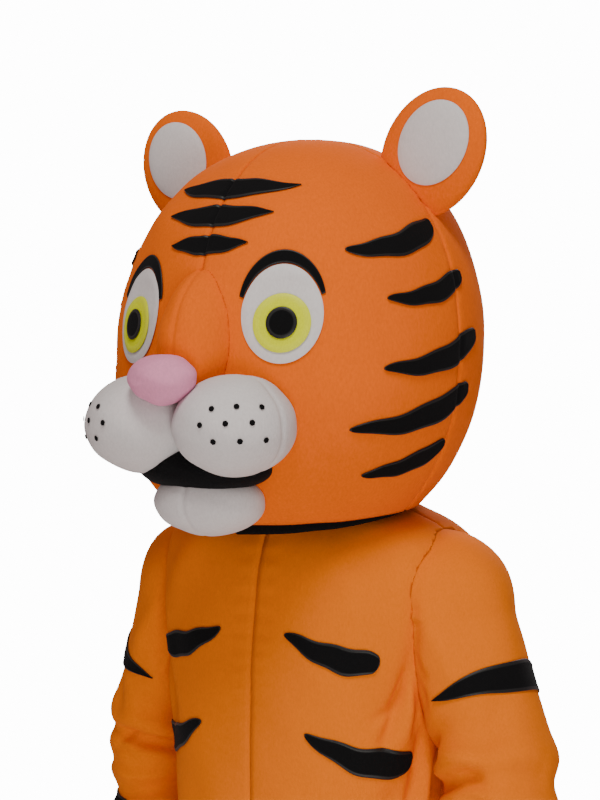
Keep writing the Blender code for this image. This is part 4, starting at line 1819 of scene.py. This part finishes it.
@dataclass
class Sleeve:
    """One sleeve with its bands."""

    side: Side
    body: SuitBody
    step: float = 0.0035
    form: SleeveForm = field(init=False)
    cloth: Cloth = field(init=False)
    # on the left sleeve: start angle and metres along, end angle and metres along, bow, half width,
    # height; the right one has its own heights
    folds: tuple[tuple, ...] = (
        (170, 0.292, 15, 0.266, 0.012, 0.011, -0.0085),
        (150, 0.312, -5, 0.322, -0.010, 0.010, 0.0070),
        (165, 0.335, 28, 0.352, -0.012, 0.012, -0.0075),
        (120, 0.232, 55, 0.272, 0.004, 0.013, 0.0060),
        (35, 0.200, 88, 0.262, 0.006, 0.015, -0.0050),
        (180, 0.255, 108, 0.212, 0.010, 0.012, -0.0070),
        (108, 0.070, 74, 0.170, 0.010, 0.016, 0.0060),
        (130, 0.088, 107, 0.152, 0.003, 0.006, -0.0055),
        (142, 0.108, 120, 0.170, -0.003, 0.006, -0.0045),
        (98, 0.288, 62, 0.304, 0.004, 0.006, -0.0045),
        (102, 0.262, 70, 0.279, 0.003, 0.006, -0.0040),
        (60, 0.330, 34, 0.318, -0.003, 0.006, -0.0035),
        (150, 0.070, 122, 0.175, 0.010, 0.013, -0.0080),
        (62, 0.385, 84, 0.500, 0.006, 0.015, 0.0050),
        (-20, 0.355, -8, 0.470, -0.005, 0.017, 0.0050),
        (20, 0.420, 40, 0.530, 0.005, 0.013, -0.0040),
        (200, 0.300, 330, 0.283, 0.012, 0.012, -0.0070),
        (212, 0.330, 318, 0.338, -0.010, 0.012, 0.0060),
        (252, 0.110, 262, 0.240, 0.008, 0.018, 0.0055),
        (225, 0.090, 236, 0.200, 0.008, 0.014, -0.0070),
        (300, 0.395, 288, 0.520, -0.006, 0.016, 0.0050),
        (200, 0.400, 215, 0.500, 0.006, 0.015, -0.0045),
        (20, 0.060, 10, 0.160, 0.006, 0.020, 0.0035),
    )
    right_scale: tuple[float, float] = (0.85, 1.08)

    def __post_init__(self) -> None:
        """Dresses the form, with the right sleeve's folds uneven against the left's."""
        self.form = SleeveForm(side=self.side)
        folds = folds_of(self.folds)
        if self.side is Side.RIGHT:
            folds = [fold.mirrored(0.008 * math.sin(index * 2.3), 9 * math.sin(index),
                                   self.right_scale[index % 2])
                     for index, fold in enumerate(folds)]
        cuff = SeamLine(along=self.form.length - 0.018, depth=0.0012, width=0.0022, pucker=0.0005,
                        spacing=0.014)
        self.cloth = Cloth(self.form, folds, (cuff, SeamLine(angle=180.0)))

    def seam_points(self) -> Array:
        """Points where the sleeve meets the body, all round.

        Returns:
            Points of the armhole seam.
        """
        angles = np.arange(0.0, 360.0, 3.0)
        low, high = np.zeros(angles.shape), np.full(angles.shape, 0.2)
        for _ in range(24):
            middle = (low + high) / 2
            inside = self.body.form.depth_in(self.form.points(angles, middle)) < 1
            low, high = np.where(inside, middle, low), np.where(inside, high, middle)
        return self.form.points(angles, low)

    def room(self) -> bpy.types.Object:
        """The body that the armhole leaves free."""
        return closed_body(self.side.named("Sleeve_Room"), self.cloth, all_round(ROOM_TURN),
                           evenly(0, self.form.length, ROOM_STEP), SEAM)

    def build(self, torso_room: bpy.types.Object) -> None:
        """Builds the sleeve and its bands.

        Args:
            torso_room: The body's inside, which the sleeve stays out of.
        """
        name = self.side.named("Sleeve")
        panel = Panel(name, self.cloth, all_round(self.step / self.form.metres_per_degree),
                      evenly(0.0, self.form.length, self.step), closed=True)
        piece = panel.build()
        cut_away(piece, [torso_room])
        DRESSER.dress(piece, ORANGE_SUIT, name)
        flat = (row_length(panel.grid, True), self.form.length)
        DRESSER.declare(piece, panel.grid, True, Hold.HUNG, [self.side.named("Suit_Front")], flat,
                        holed=True)
        self.build_bands()

    def build_bands(self) -> None:
        """Builds the bands round the sleeve."""
        for name, travel, half_angle, half_width in (
            ("Sleeve_Band_Upper", 4.7, 105, 0.40),
            ("Sleeve_Band_Middle", 10.9, 110, 0.26),
            ("Sleeve_Band_Lower", 12.4, 110, 0.26),
        ):
            low = self.form.reach_of(travel - half_width)
            high = self.form.reach_of(travel + half_width)
            bar = Bar(self.side.named(name), 0, (low + high) / 2, half_angle, (high - low) / 2)
            Patch(bar.name, self.cloth, *bar.grid()).build(
                BLACK, Hold.HUNG, self.side.named("Sleeve"))


@dataclass
class Leg:
    """One leg of the suit."""

    side: Side
    step: float = 0.005
    form: LegForm = field(init=False)
    cloth: Cloth = field(init=False)
    # start angle and height, end angle and height, bow, half width, height of the fold
    folds: tuple[tuple, ...] = (
        (-20, -0.800, -8, -0.960, 0.008, 0.022, 0.0055),
        (35, -0.790, 28, -0.980, -0.006, 0.020, -0.0060),
        (70, -0.850, 62, -1.040, 0.008, 0.024, 0.0055),
        (110, -0.780, 118, -0.930, 0.008, 0.020, -0.0055),
        (150, -0.965, 215, -1.000, 0.010, 0.014, -0.0080),
        (160, -1.010, 205, -1.035, -0.008, 0.013, 0.0070),
        (140, -1.045, 220, -1.070, 0.010, 0.014, -0.0065),
        (-30, -1.020, 30, -1.050, -0.010, 0.018, 0.0045),
        (10, -1.120, 22, -1.290, 0.006, 0.022, 0.0050),
        (-60, -1.080, -48, -1.260, -0.006, 0.022, -0.0050),
        (80, -1.140, 92, -1.300, 0.006, 0.020, -0.0050),
        (-40, -1.330, 45, -1.350, 0.008, 0.012, 0.0060),
        (60, -1.360, 130, -1.340, -0.008, 0.012, -0.0050),
        (150, -1.350, 230, -1.368, 0.008, 0.012, 0.0060),
        (250, -1.330, 310, -1.352, -0.006, 0.012, -0.0055),
        (240, -0.900, 252, -1.080, 0.008, 0.022, 0.0055),
        (200, -0.800, 214, -0.930, 0.006, 0.018, -0.0060),
        (285, -0.820, 292, -0.990, 0.005, 0.018, 0.0045),
    )

    def __post_init__(self) -> None:
        """Dresses the form, with the right leg's folds uneven against the left's."""
        self.form = LegForm(side=self.side)
        folds = folds_of(self.folds)
        if self.side is Side.RIGHT:
            folds = [fold.mirrored(0.012 * math.sin(index * 1.9))
                     for index, fold in enumerate(folds)]
        hem = SeamLine(along=self.form.hem + 0.022, depth=0.0014, width=0.0024, spacing=0.016)
        inner = SeamLine(angle=-90.0 * self.side.value)
        self.cloth = Cloth(self.form, folds, (hem, inner), joint=self.form.top)

    def build(self) -> None:
        top = self.form.top - SEAM
        name = self.side.named("Leg")
        panel = Panel(name, self.cloth, all_round(self.step / self.form.metres_per_degree),
                      evenly(self.form.hem, top, self.step), closed=True,
                      keep=keeper(self.side.value, high=top))
        piece = DRESSER.dress(panel.build(), ORANGE_SUIT, name)
        DRESSER.declare(piece, panel.grid, True, Hold.HUNG, ["Suit_Back"])


@dataclass
class Suit:
    """The one-piece suit: body, sleeves and legs."""

    body: SuitBody = field(default_factory=SuitBody)

    def build(self) -> None:
        """Builds every piece of the suit."""
        sleeves = [Sleeve(side, self.body) for side in Side]
        points = np.concatenate([sleeve.seam_points() for sleeve in sleeves])
        armholes = KDTree(len(points))
        for index, point in enumerate(points):
            armholes.insert(Vector(point), index)
        armholes.balance()
        for cloth in (self.body.cloth, *(sleeve.cloth for sleeve in sleeves)):
            cloth.edge = armholes
        torso_room = closed_body("Torso_Room", self.body.cloth, all_round(TORSO_ROOM_TURN),
                                 evenly(self.body.crotch, self.body.neck, ROOM_STEP), -CLOTH)
        self.body.build([sleeve.room() for sleeve in sleeves])
        for sleeve in sleeves:
            sleeve.build(torso_room)
        for side in Side:
            Leg(side).build()


# Studio


@dataclass
class Studio:
    """Camera, floor, backdrop and lights."""

    azimuth: float = 35.0
    pitch: float = 1.3
    distance: float = 2.2
    target: Triple = (0.0, -0.04, 0.088)
    lens: float = 89.5
    floor_height: float = -1.432
    floor_radius: float = 2.6

    def build(self) -> None:
        """Builds the studio."""
        self.build_camera()
        self.build_floor()
        self.build_world()
        self.build_light("Key", (0.85, -1.45, 2.7), 1.0, 66.0, (1.0, 1.0, 0.94))
        self.build_light("Fill", (1.5, -1.8, -0.85), 1.1, 27.0, (1.0, 0.98, 0.93))
        self.build_light("Left", (-1.6, -2.6, 1.0), 2.2, 8.0, (1.0, 0.95, 0.95))
        self.build_light("Back", (-0.9, 2.6, 1.7), 2.0, 62.0, (1.0, 1.0, 0.97))

    def build_camera(self) -> None:
        """Sets the camera at the photograph's angle."""
        turn, rise = math.radians(self.azimuth), math.radians(self.pitch)
        back = Vector((math.sin(turn) * math.cos(rise), -math.cos(turn) * math.cos(rise),
                       math.sin(rise)))
        camera = bpy.data.cameras.new("Camera")
        camera.lens = self.lens
        camera.sensor_width = 36.0
        made = bpy.data.objects.new("Camera", camera)
        bpy.context.scene.collection.objects.link(made)
        made.location = Vector(self.target) + back * self.distance
        made.rotation_mode = "QUATERNION"
        made.rotation_quaternion = (-back).to_track_quat("-Z", "Y")
        camera.clip_end = 60.0
        bpy.context.scene.camera = made

    def build_floor(self) -> None:
        """Lays a plain pale round floor under the hems."""
        turn = np.linspace(0, 2 * math.pi, 96, endpoint=False)
        points = np.stack((self.floor_radius * np.cos(turn), self.floor_radius * np.sin(turn),
                           np.full(turn.shape, self.floor_height)), -1)
        floor = mesh_object("Floor", points, [tuple(range(96))])
        floor.data.materials.append(
            Fleece("Pale_Floor", (0.80, 0.80, 0.80), depth=0.02, sheen=0.0, relief=0.0002).material())

    @staticmethod
    def build_world() -> None:
        """Lights the background a plain white."""
        world = bpy.data.worlds.new("Studio")
        bpy.context.scene.world = world
        world.use_nodes = True
        tree = world.node_tree
        glow = tree.nodes["Background"]
        glow.inputs["Color"].default_value = (1.0, 0.80, 0.77, 1.0)
        glow.inputs["Strength"].default_value = 0.34
        paper = tree.nodes.new("ShaderNodeBackground")
        paper.inputs["Color"].default_value = (1.0, 1.0, 1.0, 1.0)
        paper.inputs["Strength"].default_value = 14.0
        seen = tree.nodes.new("ShaderNodeLightPath")
        either = tree.nodes.new("ShaderNodeMixShader")
        tree.links.new(seen.outputs["Is Camera Ray"], either.inputs["Fac"])
        tree.links.new(glow.outputs["Background"], either.inputs[1])
        tree.links.new(paper.outputs["Background"], either.inputs[2])
        tree.links.new(either.outputs["Shader"], tree.nodes["World Output"].inputs["Surface"])

    @staticmethod
    def build_light(name: str, place: Triple, size: float, power: float,
                    colour: Triple) -> None:
        """Sets one soft light that looks at the chest.

        Args:
            name: The light's name.
            place: Where it stands.
            size: Its width in metres.
            power: Its power in watts.
            colour: Its colour.
        """
        lamp = bpy.data.lights.new(name, "AREA")
        lamp.shape = "DISK"
        lamp.size = size
        lamp.energy = power
        lamp.color = colour
        made = bpy.data.objects.new(name, lamp)
        bpy.context.scene.collection.objects.link(made)
        made.location = place
        made.rotation_mode = "QUATERNION"
        made.rotation_quaternion = (Vector((0, 0, 0)) - Vector(place)).to_track_quat("-Z", "Y")
        made.visible_camera = False


def main() -> None:
    """Builds the costume and its studio."""
    logging.basicConfig(level=logging.INFO, format="%(name)s %(message)s")
    head = Head()
    head.build_shell()
    NeckLining(head).build()
    Muzzle(head).build()
    for side in Side:
        Ear(head, side).build()
        Eye(head, side).build()
    head.build_stripes()
    Suit().build()
    remove_rooms()
    Studio().build()
    LOG.info("%d pieces", DRESSER.counted)


if __name__ == "__main__":
    main()
